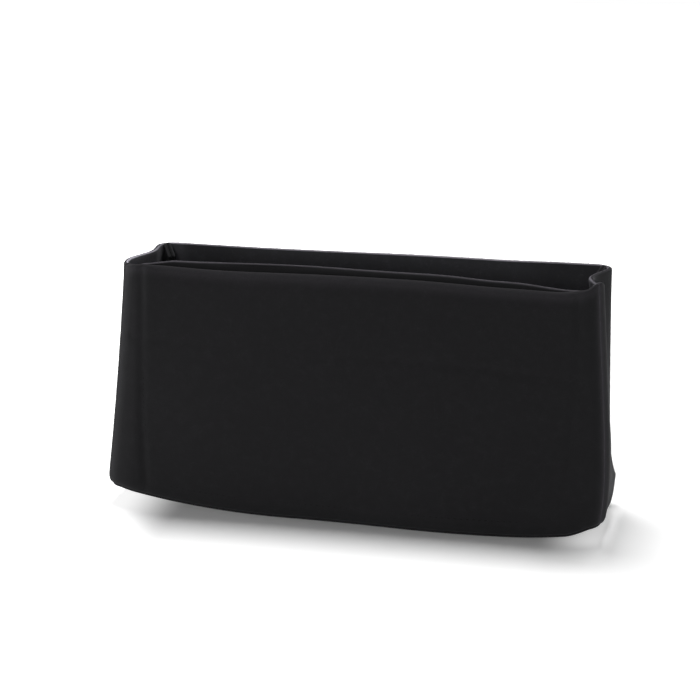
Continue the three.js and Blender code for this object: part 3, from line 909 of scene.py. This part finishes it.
def pocket_panel(name, node, wall, box, pockets):
    """A pocket: a sheet of thinner felt with cut edges all round, lying along the inside of a long wall."""
    side, side_share = edge_steps(pockets.felt / box.rim_length, 5)
    up, up_share = edge_steps(pockets.felt / 2 / box.height, 6)
    columns = rounded_steps(-1, 1, side, POCKET_COLUMNS)
    rows = rounded_steps(0, 1, up, POCKET_ROWS)
    share = rounded_share(len(columns), side_share)[:, None] * rounded_share(len(rows), up_share)
    faces = [place_pocket(wall, columns[:, None], rows, inset, box, pockets) for inset in (0, pockets.felt)]
    share = share**CUT_EDGE_SQUARENESS
    pale = cut_edge(share) * mix(1, MOUTH_PALE, smooth(columns, *MOUTH_PALE_RANGE))[:, None]
    panel = felt_sheet(name, *faces, share, BOX_BODY, "pocket_felt", pale)
    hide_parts(node)
    return panel


POCKET_COLUMNS = 200
POCKET_ROWS = 70
CUT_EDGE_SQUARENESS = 0.55
MOUTH_PALE = 0.7
MOUTH_PALE_RANGE = (-0.8, -0.5)


# Base board


def board_layer(name, node, slot, rounding, box):
    """A layer of the board: a plate with rounded corners, as large as its node, that follows the curve of the
    bottom. At a corner its half width falls as a quarter circle."""
    low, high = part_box(node)
    run, width, middle = (high.x - low.x) / 2, (high.y - low.y) / 2, (high.y + low.y) / 2
    near, near_share = edge_steps(rounding, 4)
    corner = np.linspace(near[-1], BOARD_CORNER, 9)[1:]
    x = both_ways(np.concatenate([near, corner, np.linspace(BOARD_CORNER, run, 60)[1:]]), run)
    side = both_ways(np.concatenate([near, np.linspace(near[-1], width, 16)[1:]]) / width, 1)
    into = np.clip(BOARD_CORNER - (run - np.abs(x)), 0, BOARD_CORNER)
    half_width = width - BOARD_CORNER + np.sqrt(BOARD_CORNER**2 - into**2)
    across = (x[:, None], middle + half_width[:, None] * side)
    under = low.z + lift(x, box)[:, None]
    thickness = BOARD_THICKNESS[node]
    faces = [np.stack(np.broadcast_arrays(*across, under + rise), -1) for rise in (0, thickness)]
    share = rounded_share(len(x), near_share)[:, None] * rounded_share(len(side), near_share)
    plate = felt_sheet(name, *faces, share, BOARD_BODY, slot, BOARD_PALE * cut_edge(share))
    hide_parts(node)
    return plate


BOARD_THICKNESS = {"base_board_core": 1.2 * MM, "base_board_felt": 1.6 * MM}
BOARD_CORNER = 9 * MM
BOARD_PALE = 0.5


# Stitching


def tube_faces(numbers):
    """Quads round tubes, from the numbers of their vertices by tube, ring and place round the ring."""
    return grid_faces(np.concatenate([numbers, numbers[..., :1]], -1))


def stitch_run(path, normals):
    """Stitches along a path: each is a short thread that rises a little from the felt, as half a sine
    wave, and dips in at both ends. Gives the vertices and faces of all of them."""
    travelled = np.concatenate([[0], np.cumsum(np.linalg.norm(np.diff(path, axis=0), axis=1))])
    count = int(travelled[-1] / STITCH_PITCH)
    shares = np.linspace(0, 1, 7)
    places = np.arange(count)[:, None] + mix(STITCH_REST, 1 - STITCH_REST, shares)
    places = places * travelled[-1] / count
    centre, normal = (
        np.stack([np.interp(places, travelled, part) for part in values.T], -1) for values in (path, normals)
    )
    normal = unit(normal)
    across = np.cross(unit(np.gradient(centre, axis=1)), normal)
    arch = np.sin(np.pi * shares)
    centre = centre + normal * (THREAD * (THREAD_ARCH * arch - THREAD_DIP) - STITCH_DEPTH)[:, None]
    angle = np.linspace(0, 2 * np.pi, 6, endpoint=False)[:, None]
    ring = across[:, :, None] * np.cos(angle) + normal[:, :, None] * np.sin(angle)
    radius = THREAD / 2 * np.maximum(THREAD_TIP, arch**0.4)
    tube = centre[:, :, None] + ring * radius[:, None, None]
    numbers = np.arange(tube[..., 0].size).reshape(tube.shape[:-1])
    rings = (numbers[:, 0], numbers[:, -1, ::-1])
    ends = [ring_numbers[:, half] for ring_numbers in rings for half in ([0, 1, 2, 3], [0, 3, 4, 5])]
    return tube.reshape(-1, 3), np.concatenate([tube_faces(numbers), *ends])


def pocket_line(wall, share, up, inset, box, pockets):
    """A point of a pocket, or of the wall's outer face straight across from it if inset is None."""
    if wall == FRONT:
        z = up * box.height
        share = share * sewn_line(share, z, box, pockets) / (side_length(share, z, box) - pockets.margin)
    else:
        share = share * (1 - STITCH_INSET)
    point = place_pocket(wall, share, up, inset or 0, box, pockets)
    if inset is not None:
        return point
    x, z = point[..., 0], point[..., 2]
    return place_long(wall, x / (side_length(x, z, box) - box.corner_radius), z, 0, box, pockets)


def sewn_path(wall, inset, first, last, count, box, pockets):
    """A path over a pocket or its wall from one pair of parameters to another, with the felt's outward
    normals: the cross products of short steps to either side."""
    share = np.linspace(0, 1, count)
    u, v = (mix(a, b, share) for a, b in zip(first, last))
    points, beside, above = (
        settle(pocket_line(wall, u + du, v + dv, inset, box, pockets), box)
        for du, dv in ((0, 0), (PATH_STEP, 0), (0, PATH_STEP))
    )
    normals = unit(np.cross(beside - points, above - points))
    facing = wall if inset is None else -wall
    return points, normals * np.sign((normals[:, 1] * facing).mean())


def stitching(box, pockets):
    """The lines of stitching that hold the two pockets, upright and along the foot, seen on the outside
    of each long wall and on the pocket."""
    foot, mouth = STITCH_SPAN
    for wall, name in ((FRONT, "front"), (BACK, "back")):
        sides = (-1, 1) if wall == FRONT else back_stitch_places(pockets)
        spans = [((side, foot), (side, mouth), 160) for side in sides] + [((-1, foot), (1, foot), 300)]
        for label, inset in (("outside", None), ("inside", pockets.felt)):
            vertices, faces, start = [], [], 0
            for span in spans:
                made, quads = stitch_run(*sewn_path(wall, inset, *span, box, pockets))
                vertices.append(made)
                faces.append(quads + start)
                start += len(made)
            both = np.concatenate(vertices), np.concatenate(faces)
            sewn = add_object(f"{name}_pocket_stitches_{label}", *both, BOX_BODY, "wall_felt")
            dress(sewn, "sewing_thread")


PATH_STEP = 0.002
STITCH_SPAN = (0.012, 0.985)
STITCH_INSET = 0.012
STITCH_PITCH = 3.0 * MM
STITCH_REST = 0.07
STITCH_DEPTH = 0.36 * MM
THREAD = 0.5 * MM
THREAD_ARCH = 0.9
THREAD_DIP = 0.55
THREAD_TIP = 0.35


# Fuzz


def fuzz(name, roots, box, count, reach, seed, slot):
    """Loose fibres at a cut edge: thin bent hairs of three sides that start inside the felt, each with a
    random lean from upright. A hair's spine is its root, plus its aim times the share, plus its curl
    times the share squared."""
    draw = np.random.default_rng(seed)
    pick = draw.integers(0, len(roots), count)
    root = settle(roots, box)[pick] + draw.normal(0, 1, (count, 3)) * FUZZ_SPREAD
    aim = unit(UPWARD + draw.normal(0, FUZZ_LEAN, (count, 3)))
    curl = draw.normal(0, FUZZ_CURL, (count, 3))
    size = reach * draw.uniform(0.35, 1.0, count) ** 1.5
    share = np.linspace(0, 1, len(FIBRE_TAPER))[:, None]
    spine = root[:, None] + size[:, None, None] * (aim[:, None] * share + curl[:, None] * share**2 * 0.5)
    side = unit(np.cross(aim, FUZZ_ASIDE))
    other = np.cross(aim, side)
    angle = np.arange(3)[:, None] * 2 * np.pi / 3
    ring = side[:, None] * np.cos(angle) + other[:, None] * np.sin(angle)
    points = spine[:, :, None] + ring[:, None] * (FIBRE / 2 * np.array(FIBRE_TAPER))[:, None, None]
    numbers = np.arange(points[..., 0].size).reshape(points.shape[:-1])
    triangles = tube_faces(numbers)[:, [0, 1, 2, 0, 2, 3]].reshape(-1, 3)
    faces = np.concatenate([triangles, numbers[:, 0, ::-1], numbers[:, -1]])
    dress(add_object(name, points.reshape(-1, 3), faces, BOX_BODY, slot), "felt_fuzz")


UPWARD = np.array([0, 0, 1])
FUZZ_ASIDE = (0.31, 0.17, 0.93)
FUZZ_SPREAD = 0.35 * MM
FUZZ_DEPTH = 0.5 * MM
FUZZ_LEAN = 0.75
FUZZ_CURL = 0.6
FIBRE = 0.06 * MM
FIBRE_TAPER = (1, 0.9, 0.7, 0.3)


# Materials


def feed(tree, made, inputs):
    """Gives a node's inputs, by name or number, a value or a link from another node's output."""
    for key, value in inputs.items():
        if isinstance(value, bpy.types.NodeSocket):
            tree.links.new(value, made.inputs[key])
        else:
            made.inputs[key].default_value = value


def node(tree, kind, inputs=None, **values):
    """A node of a tree, with its properties set and its inputs fed."""
    made = tree.nodes.new(kind)
    for key, value in values.items():
        setattr(made, key, value)
    feed(tree, made, inputs or {})
    return made


def noise(tree, vector, scale, detail, roughness=0.6, distortion=0.0):
    """A noise texture on a vector; gives its factor socket."""
    inputs = {
        "Vector": vector,
        "Scale": scale,
        "Detail": detail,
        "Roughness": roughness,
        "Distortion": distortion,
    }
    outputs = node(tree, "ShaderNodeTexNoise", inputs, noise_dimensions="3D").outputs
    return outputs["Factor"] if "Factor" in outputs else outputs["Fac"]


def maths(tree, operation, *values, clamp=False):
    """A maths node on sockets or numbers; gives its output socket."""
    inputs = dict(enumerate(values))
    return node(tree, "ShaderNodeMath", inputs, operation=operation, use_clamp=clamp).outputs[0]


def blend(tree, factor, first, second):
    """A blend of two colours, each a socket or a value; gives its output socket."""
    inputs = {"Factor": factor, "A": first, "B": second}
    return node(tree, "ShaderNodeMix", inputs, data_type="RGBA").outputs["Result"]


def bumped(tree, height, strength, distance):
    """The normal of a fine relief, from its height."""
    inputs = {"Height": height, "Strength": strength, "Distance": distance}
    return node(tree, "ShaderNodeBump", inputs).outputs["Normal"]


def fibre_group():
    """Matted fibres: fine crossed noise for the colour and height, blotches of wear, and a lighter cut edge
    that also carries painted highlights. A gain brightens the colour as painted light on faces inside the
    box."""
    group = bpy.data.node_groups.new("matted_fibres", "ShaderNodeTree")
    for label, way, kind, value in FIBRE_SOCKETS:
        socket = group.interface.new_socket(label, in_out=way, socket_type=kind)
        if value is not None:
            socket.default_value = value
    inputs = node(group, "NodeGroupInput").outputs
    place = node(group, "ShaderNodeTexCoord").outputs["Object"]
    long_fibres = noise(group, place, scale=900, detail=6, roughness=0.7, distortion=1.6)
    fine_fibres = noise(group, place, scale=2600, detail=3, roughness=0.6, distortion=0.8)
    clumps = noise(group, place, scale=210, detail=4, roughness=0.6, distortion=0.6)
    blotches = noise(group, place, scale=26, detail=3, roughness=0.5)
    height = 0
    for fibres, depth in ((long_fibres, 0.6), (fine_fibres, 0.25), (clumps, 0.5)):
        height = maths(group, "MULTIPLY_ADD", fibres, depth, height)
    strands = maths(group, "SMOOTH_MIN", long_fibres, clumps)
    light = node(group, "ShaderNodeMapRange", {"Value": strands, "From Min": 0.42, "From Max": 0.68})
    share = maths(group, "MULTIPLY", light.outputs["Result"], inputs["Fibre share"], clamp=True)
    blotch = maths(group, "MULTIPLY", maths(group, "SUBTRACT", blotches, 0.5), inputs["Blotch"])
    shade = maths(group, "ADD", blotch, share, clamp=True)
    edge = maths(group, "MULTIPLY", inputs["Edge"], maths(group, "ADD", long_fibres, 0.35), clamp=True)
    roughness = maths(group, "MULTIPLY_ADD", long_fibres, 0.14, 0.86, clamp=True)
    # Painted light: where the inside mark is 1, the colour is multiplied by the gain in place of light inside
    # the box.
    gain = maths(group, "SUBTRACT", inputs["Painted inner light gain"], 1)
    gain = maths(group, "MULTIPLY_ADD", gain, inputs["Inside"], 1)
    matted = blend(group, shade, inputs["Body"], inputs["Fibre"])
    trimmed = blend(group, edge, matted, inputs["Cut"])
    lit = node(group, "ShaderNodeVectorMath", {0: trimmed, "Scale": gain}, operation="SCALE")
    results = {"Color": lit.outputs[0], "Height": height, "Roughness": roughness}
    node(group, "NodeGroupOutput", results)
    return group


FIBRE_SOCKETS = (
    ("Body", "INPUT", "NodeSocketColor", (0, 0, 0, 1)),
    ("Fibre", "INPUT", "NodeSocketColor", (0, 0, 0, 1)),
    ("Cut", "INPUT", "NodeSocketColor", (0, 0, 0, 1)),
    ("Edge", "INPUT", "NodeSocketFloat", 0),
    ("Inside", "INPUT", "NodeSocketFloat", 0),
    ("Painted inner light gain", "INPUT", "NodeSocketFloat", 1),
    ("Blotch", "INPUT", "NodeSocketFloat", 0.14),
    ("Fibre share", "INPUT", "NodeSocketFloat", 0.38),
    ("Color", "OUTPUT", "NodeSocketColor", None),
    ("Height", "OUTPUT", "NodeSocketFloat", None),
    ("Roughness", "OUTPUT", "NodeSocketFloat", None),
)


def shaded(name):
    """A new material's tree and shader."""
    material = bpy.data.materials.new(name)
    material.use_nodes = True
    return material.node_tree, material.node_tree.nodes["Principled BSDF"]


def felt_material(name, group, colours, brightness, painted_inner_light_gain, bump):
    """Felt: dark matted fibres with a soft sheen, a fine bump and paler cut edges, with painted highlights in
    the cut-edge colour and painted light on the faces inside the box.
    """
    tree, shader = shaded(name)
    inputs = {"Painted inner light gain": painted_inner_light_gain}
    for label, value in (("Body", colours.felt), ("Fibre", colours.fibre), ("Cut", colours.cut)):
        inputs[label] = (*(c * brightness for c in value), 1)
    for label, mark in (("Edge", "cut_edge"), ("Inside", "inside")):
        inputs[label] = node(tree, "ShaderNodeAttribute", attribute_name=mark).outputs["Fac"]
    fibres = node(tree, "ShaderNodeGroup", node_tree=group)
    feed(tree, fibres, inputs)
    finish = {
        "Base Color": fibres.outputs["Color"],
        "Roughness": fibres.outputs["Roughness"],
        "Normal": bumped(tree, fibres.outputs["Height"], strength=bump, distance=0.25 * MM),
        "Specular IOR Level": 0.12,
        "Sheen Weight": 0.08,
        "Sheen Roughness": 0.45,
        "Sheen Tint": (0.42, 0.41, 0.44, 1),
    }
    feed(tree, shader, finish)


def plain_material(name, base, roughness, grain_scale, grain_depth, specular):
    """Thread, loose fibre or moulded plastic: one colour with a fine grain in its colour, roughness and
    height."""
    tree, shader = shaded(name)
    place = node(tree, "ShaderNodeTexCoord").outputs["Object"]
    grain = noise(tree, place, scale=grain_scale, detail=4)
    dark, light = ((*(c * share for c in base), 1) for share in (0.75, 1.3))
    finish = {
        "Base Color": blend(tree, grain, dark, light),
        "Roughness": maths(tree, "MULTIPLY_ADD", grain, 0.2, roughness - 0.1),
        "Normal": bumped(tree, grain, strength=0.4, distance=grain_depth),
        "Specular IOR Level": specular,
    }
    feed(tree, shader, finish)


def dress(thing, material):
    """Gives a piece its material."""
    thing.data.materials.append(bpy.data.materials[material])


# Stage


def seen_directly(tree):
    """1 for what looks at a place straight, in a mirror or through clear material, and 0 for its light."""
    path = node(tree, "ShaderNodeLightPath").outputs
    seen = maths(tree, "MAXIMUM", path["Is Camera Ray"], path["Is Glossy Ray"])
    return maths(tree, "MAXIMUM", seen, path["Is Transmission Ray"])


def eased(tree, value, start, end, height=1):
    """A smooth step on a socket, from 0 at the start to a height at the end."""
    inputs = {"Value": value, "From Min": start, "From Max": end, "To Min": 0, "To Max": height}
    return node(tree, "ShaderNodeMapRange", inputs, interpolation_type="SMOOTHSTEP").outputs["Result"]


def table_material(colours):
    """White table: plain diffuse. What looks at it directly sees it lifted to clean white far away. In front
    of both ends of the insert it glows for direct views only, as painted light that fades the cast shadow."""
    tree, shader = shaded("white_table")
    place = node(tree, "ShaderNodeTexCoord").outputs["Object"]
    reach = node(tree, "ShaderNodeVectorMath", {0: place}, operation="LENGTH").outputs["Value"]
    x, y, _ = node(tree, "ShaderNodeSeparateXYZ", {0: place}).outputs
    aslant = maths(tree, "MULTIPLY_ADD", y, EDGE_SLANT, x)
    # Painted light: emission seen only directly, laid over the cast shadow in front of each end.
    right = eased(tree, x, *RIGHT_END, RIGHT_END_PAINTED_LIGHT)
    for value, ends in ((aslant, RIGHT_FADE), (y, FRONT_FADE), (y, BACK_FADE)):
        right = maths(tree, "MULTIPLY", right, eased(tree, value, *ends))
    lifted = maths(tree, "ADD", right, eased(tree, x, *LEFT_END, LEFT_END_PAINTED_LIGHT))
    lifted = maths(tree, "ADD", lifted, eased(tree, reach, *FAR_TABLE))
    finish = {
        "Base Color": (*colours.table, 1),
        "Roughness": 0.9,
        "Specular IOR Level": 0.1,
        "Emission Color": (1, 1, 1, 1),
        "Emission Strength": maths(tree, "MULTIPLY", seen_directly(tree), lifted),
    }
    feed(tree, shader, finish)


FAR_TABLE = (0.25, 0.8)
# Where the painted light lies over the cast shadow at each end of the insert.
LEFT_END = (-88 * MM, -124 * MM)
LEFT_END_PAINTED_LIGHT = 0.76
RIGHT_END = (91 * MM, 120 * MM)
RIGHT_END_PAINTED_LIGHT = 0.49
RIGHT_FADE = (132.5 * MM, 123 * MM)
FRONT_FADE = (-60 * MM, -24 * MM)
BACK_FADE = (34 * MM, 18 * MM)
EDGE_SLANT = -0.05


def add_table(stage, colours):
    """The table: one square, a hair below the feet."""
    half = stage.table_size / 2
    corners = [(x * half, y * half, TABLE_LEVEL) for x, y in ((-1, -1), (1, -1), (1, 1), (-1, 1))]
    mesh = bpy.data.meshes.new("table")
    mesh.from_pydata(corners, [], [(0, 1, 2, 3)])
    table = bpy.data.objects.new("table", mesh)
    bpy.context.scene.collection.objects.link(table)
    table_material(colours)
    dress(table, "white_table")


TABLE_LEVEL = -0.1 * MM


def soft_light(name, place, size, power):
    """A softbox at a place, facing the insert."""
    light = bpy.data.lights.new(name, "AREA")
    light.shape = "RECTANGLE"
    light.size, light.size_y = size
    light.energy = power
    thing = bpy.data.objects.new(name, light)
    thing.location = place
    thing.rotation_euler = (Vector(LIGHT_AIM) - Vector(place)).to_track_quat("-Z", "Y").to_euler()
    bpy.context.scene.collection.objects.link(thing)


LIGHT_AIM = (0, 0, 50 * MM)
SOFTBOXES = (
    ("top_softbox", (-0.03, 0.31, 1.35), (0.65, 0.4), 22),
    ("left_softbox", (-1.08, -0.27, 0.07), (0.9, 0.12), 13),
    ("right_softbox", (1.1, -0.1, 0.07), (0.7, 0.12), 6.5),
    ("front_softbox", (-0.2, -1.35, 0.42), (1.1, 0.4), 5.2),
)


def add_camera(stage):
    """The camera: turned by its azimuth, elevation and roll, then set out from the aim point along its own
    axes."""
    turn = Matrix.Rotation(stage.azimuth, 4, "Z") @ Matrix.Rotation(QUARTER_TURN - stage.elevation, 4, "X")
    turn = turn @ Matrix.Rotation(stage.roll, 4, "Z")
    out = Matrix.Translation((stage.shift_right, stage.shift_up, stage.distance))
    data = bpy.data.cameras.new("camera")
    data.lens = stage.lens
    data.sensor_width = 36
    data.clip_start, data.clip_end = 10 * MM, 20
    thing = bpy.data.objects.new("camera", data)
    thing.matrix_world = Matrix.Translation((0, 0, stage.aim_height)) @ turn @ out
    bpy.context.scene.collection.objects.link(thing)
    bpy.context.scene.camera = thing


def add_world():
    """White surroundings: full white where they are looked at, gentler as light."""
    world = bpy.data.worlds.new("white_room")
    bpy.context.scene.world = world
    world.use_nodes = True
    tree = world.node_tree
    strength = maths(tree, "MULTIPLY_ADD", seen_directly(tree), 1 - ROOM_LIGHT, ROOM_LIGHT)
    feed(tree, tree.nodes["Background"], {"Color": (1, 1, 1, 1), "Strength": strength})


ROOM_LIGHT = 0.02


# Operators


class FELT_OT_materials(bpy.types.Operator):
    """Make the felt, thread, fuzz and board materials"""

    bl_idname = "felt.materials"
    bl_label = "Materials"

    def execute(self, context):
        colours = context.scene.felt_colours
        group = fibre_group()
        # Each felt's brightness, its gain of painted light on inner faces, and its bump.
        for name, brightness, painted_inner_light_gain, bump in (
            ("wall_black_felt", 1.0, 6.5, 0.55),
            ("pocket_black_felt", 0.95, 3.0, 0.5),
            ("board_black_felt", 0.9, 1.0, 0.4),
        ):
            felt_material(name, group, colours, brightness, painted_inner_light_gain, bump)
        for name, base, roughness, grain_scale, grain_depth, specular in (
            ("sewing_thread", colours.thread, 0.85, 3000, 0.05 * MM, 0.05),
            ("felt_fuzz", colours.fibre, 0.9, 2000, 0.02 * MM, 0.1),
            ("moulded_board", colours.board, 0.5, 700, 0.05 * MM, 0.4),
        ):
            plain_material(name, base, roughness, grain_scale, grain_depth, specular)
        return {"FINISHED"}


class FELT_OT_walls(bpy.types.Operator):
    """Make the two long walls and the two gussets"""

    bl_idname = "felt.walls"
    bl_label = "Walls"

    def execute(self, context):
        box, pockets, _ = settings()
        soft, cut = box.felt / 2, CUT_ROUNDING
        for name, panel, kind, side, rim_round, pale in (
            ("front_wall_felt", "front_panel", "long", FRONT, soft, 0),
            ("back_wall_felt", "back_panel", "long", BACK, cut, 0.35),
            ("left_gusset_felt", "left_side_panel", "gusset", LEFT, cut, 0.2),
            ("right_gusset_felt", "right_side_panel", "gusset", RIGHT, cut, 0.2),
        ):
            dress(wall_panel(name, panel, kind, side, box, pockets, rim_round, pale), "wall_black_felt")
        return {"FINISHED"}


CUT_ROUNDING = 0.8 * MM


class FELT_OT_bottom(bpy.types.Operator):
    """Make the bottom panel"""

    bl_idname = "felt.bottom"
    bl_label = "Bottom"

    def execute(self, context):
        box, pockets, _ = settings()
        dress(bottom_panel(box, pockets), "wall_black_felt")
        return {"FINISHED"}


class FELT_OT_pockets(bpy.types.Operator):
    """Make the two pockets inside"""

    bl_idname = "felt.pockets"
    bl_label = "Pockets"

    def execute(self, context):
        box, pockets, _ = settings()
        for name, panel, wall in (
            ("front_pocket_felt", "front_inner_pocket", FRONT),
            ("back_pocket_felt", "back_inner_pocket", BACK),
        ):
            dress(pocket_panel(name, panel, wall, box, pockets), "pocket_black_felt")
        return {"FINISHED"}


class FELT_OT_board(bpy.types.Operator):
    """Make the loose base board"""

    bl_idname = "felt.board"
    bl_label = "Base board"

    def execute(self, context):
        box, _, _ = settings()
        core = board_layer("board_core_plate", "base_board_core", "board_plastic", 0.4 * MM, box)
        felt = board_layer("board_felt_top", "base_board_felt", "board_felt", 0.7 * MM, box)
        dress(core, "moulded_board")
        dress(felt, "board_black_felt")
        return {"FINISHED"}


class FELT_OT_stitching(bpy.types.Operator):
    """Make the stitching of the pockets"""

    bl_idname = "felt.stitching"
    bl_label = "Stitching"

    def execute(self, context):
        box, pockets, _ = settings()
        stitching(box, pockets)
        return {"FINISHED"}


class FELT_OT_fuzz(bpy.types.Operator):
    """Make the loose fibres along the cut rims"""

    bl_idname = "felt.fuzz"
    bl_label = "Fuzz"

    def execute(self, context):
        box, pockets, _ = settings()
        q = np.linspace(-1, 1, 900)
        inset = box.felt / 2
        back, front = (
            place_long(wall, q, rim_height(wall, q, box) - FUZZ_DEPTH, inset, box, pockets)
            for wall in (BACK, FRONT)
        )
        left, right = (place_gusset(end, q, box.height - FUZZ_DEPTH, inset, box) for end in (LEFT, RIGHT))
        mouth = place_pocket(FRONT, q, 0.996, pockets.felt / 2, box, pockets)
        for name, roots, count, reach, seed, slot in (
            ("back_rim_fuzz", back, 2600, 1.6 * MM, 21, "wall_felt"),
            ("front_rim_fuzz", front, 1200, 0.9 * MM, 22, "wall_felt"),
            ("front_pocket_fuzz", mouth, 1500, 0.8 * MM, 23, "pocket_felt"),
            ("left_rim_fuzz", left, 600, 1.5 * MM, 24, "wall_felt"),
            ("right_rim_fuzz", right, 600, 1.5 * MM, 25, "wall_felt"),
        ):
            fuzz(name, roots, box, count, reach, seed, slot)
        return {"FINISHED"}


class FELT_OT_stage(bpy.types.Operator):
    """Make the white table, the lights and the camera"""

    bl_idname = "felt.stage"
    bl_label = "Stage"

    def execute(self, context):
        _, _, stage = settings()
        add_table(stage, context.scene.felt_colours)
        for softbox in SOFTBOXES:
            soft_light(*softbox)
        add_world()
        add_camera(stage)
        context.scene.view_settings.view_transform = "Standard"
        return {"FINISHED"}


class FELT_PT_panel(bpy.types.Panel):
    """Lists the steps that build the insert"""

    bl_idname = "FELT_PT_panel"
    bl_label = "Felt Insert"
    bl_space_type = "VIEW_3D"
    bl_region_type = "UI"
    bl_category = "Felt Insert"

    def draw(self, context):
        for step in STEPS:
            self.layout.operator(step.bl_idname)
        for name, kind in GROUPS.items():
            for key in kind.__annotations__:
                self.layout.prop(getattr(context.scene, name), key)


STEPS = (
    FELT_OT_materials,
    FELT_OT_walls,
    FELT_OT_bottom,
    FELT_OT_pockets,
    FELT_OT_board,
    FELT_OT_stitching,
    FELT_OT_fuzz,
    FELT_OT_stage,
)
GROUPS = {
    "felt_box": FeltBoxSizes,
    "felt_pockets": PocketSizes,
    "felt_colours": FeltColours,
    "felt_stage": StageSizes,
}


def register():
    """Registers the classes, and gives the scene its groups of sizes and colours."""
    for kind in (*GROUPS.values(), *STEPS, FELT_PT_panel):
        bpy.utils.register_class(kind)
    for name, kind in GROUPS.items():
        setattr(bpy.types.Scene, name, PointerProperty(type=kind))


def unregister():
    """Takes back what register did."""
    for name in GROUPS:
        delattr(bpy.types.Scene, name)
    for kind in (FELT_PT_panel, *reversed(STEPS), *GROUPS.values()):
        bpy.utils.unregister_class(kind)


def main():
    """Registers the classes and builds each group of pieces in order."""
    register()
    bpy.ops.felt.materials()
    bpy.ops.felt.walls()
    bpy.ops.felt.bottom()
    bpy.ops.felt.pockets()
    bpy.ops.felt.board()
    bpy.ops.felt.stitching()
    bpy.ops.felt.fuzz()
    bpy.ops.felt.stage()


if __name__ == "__main__":
    main()
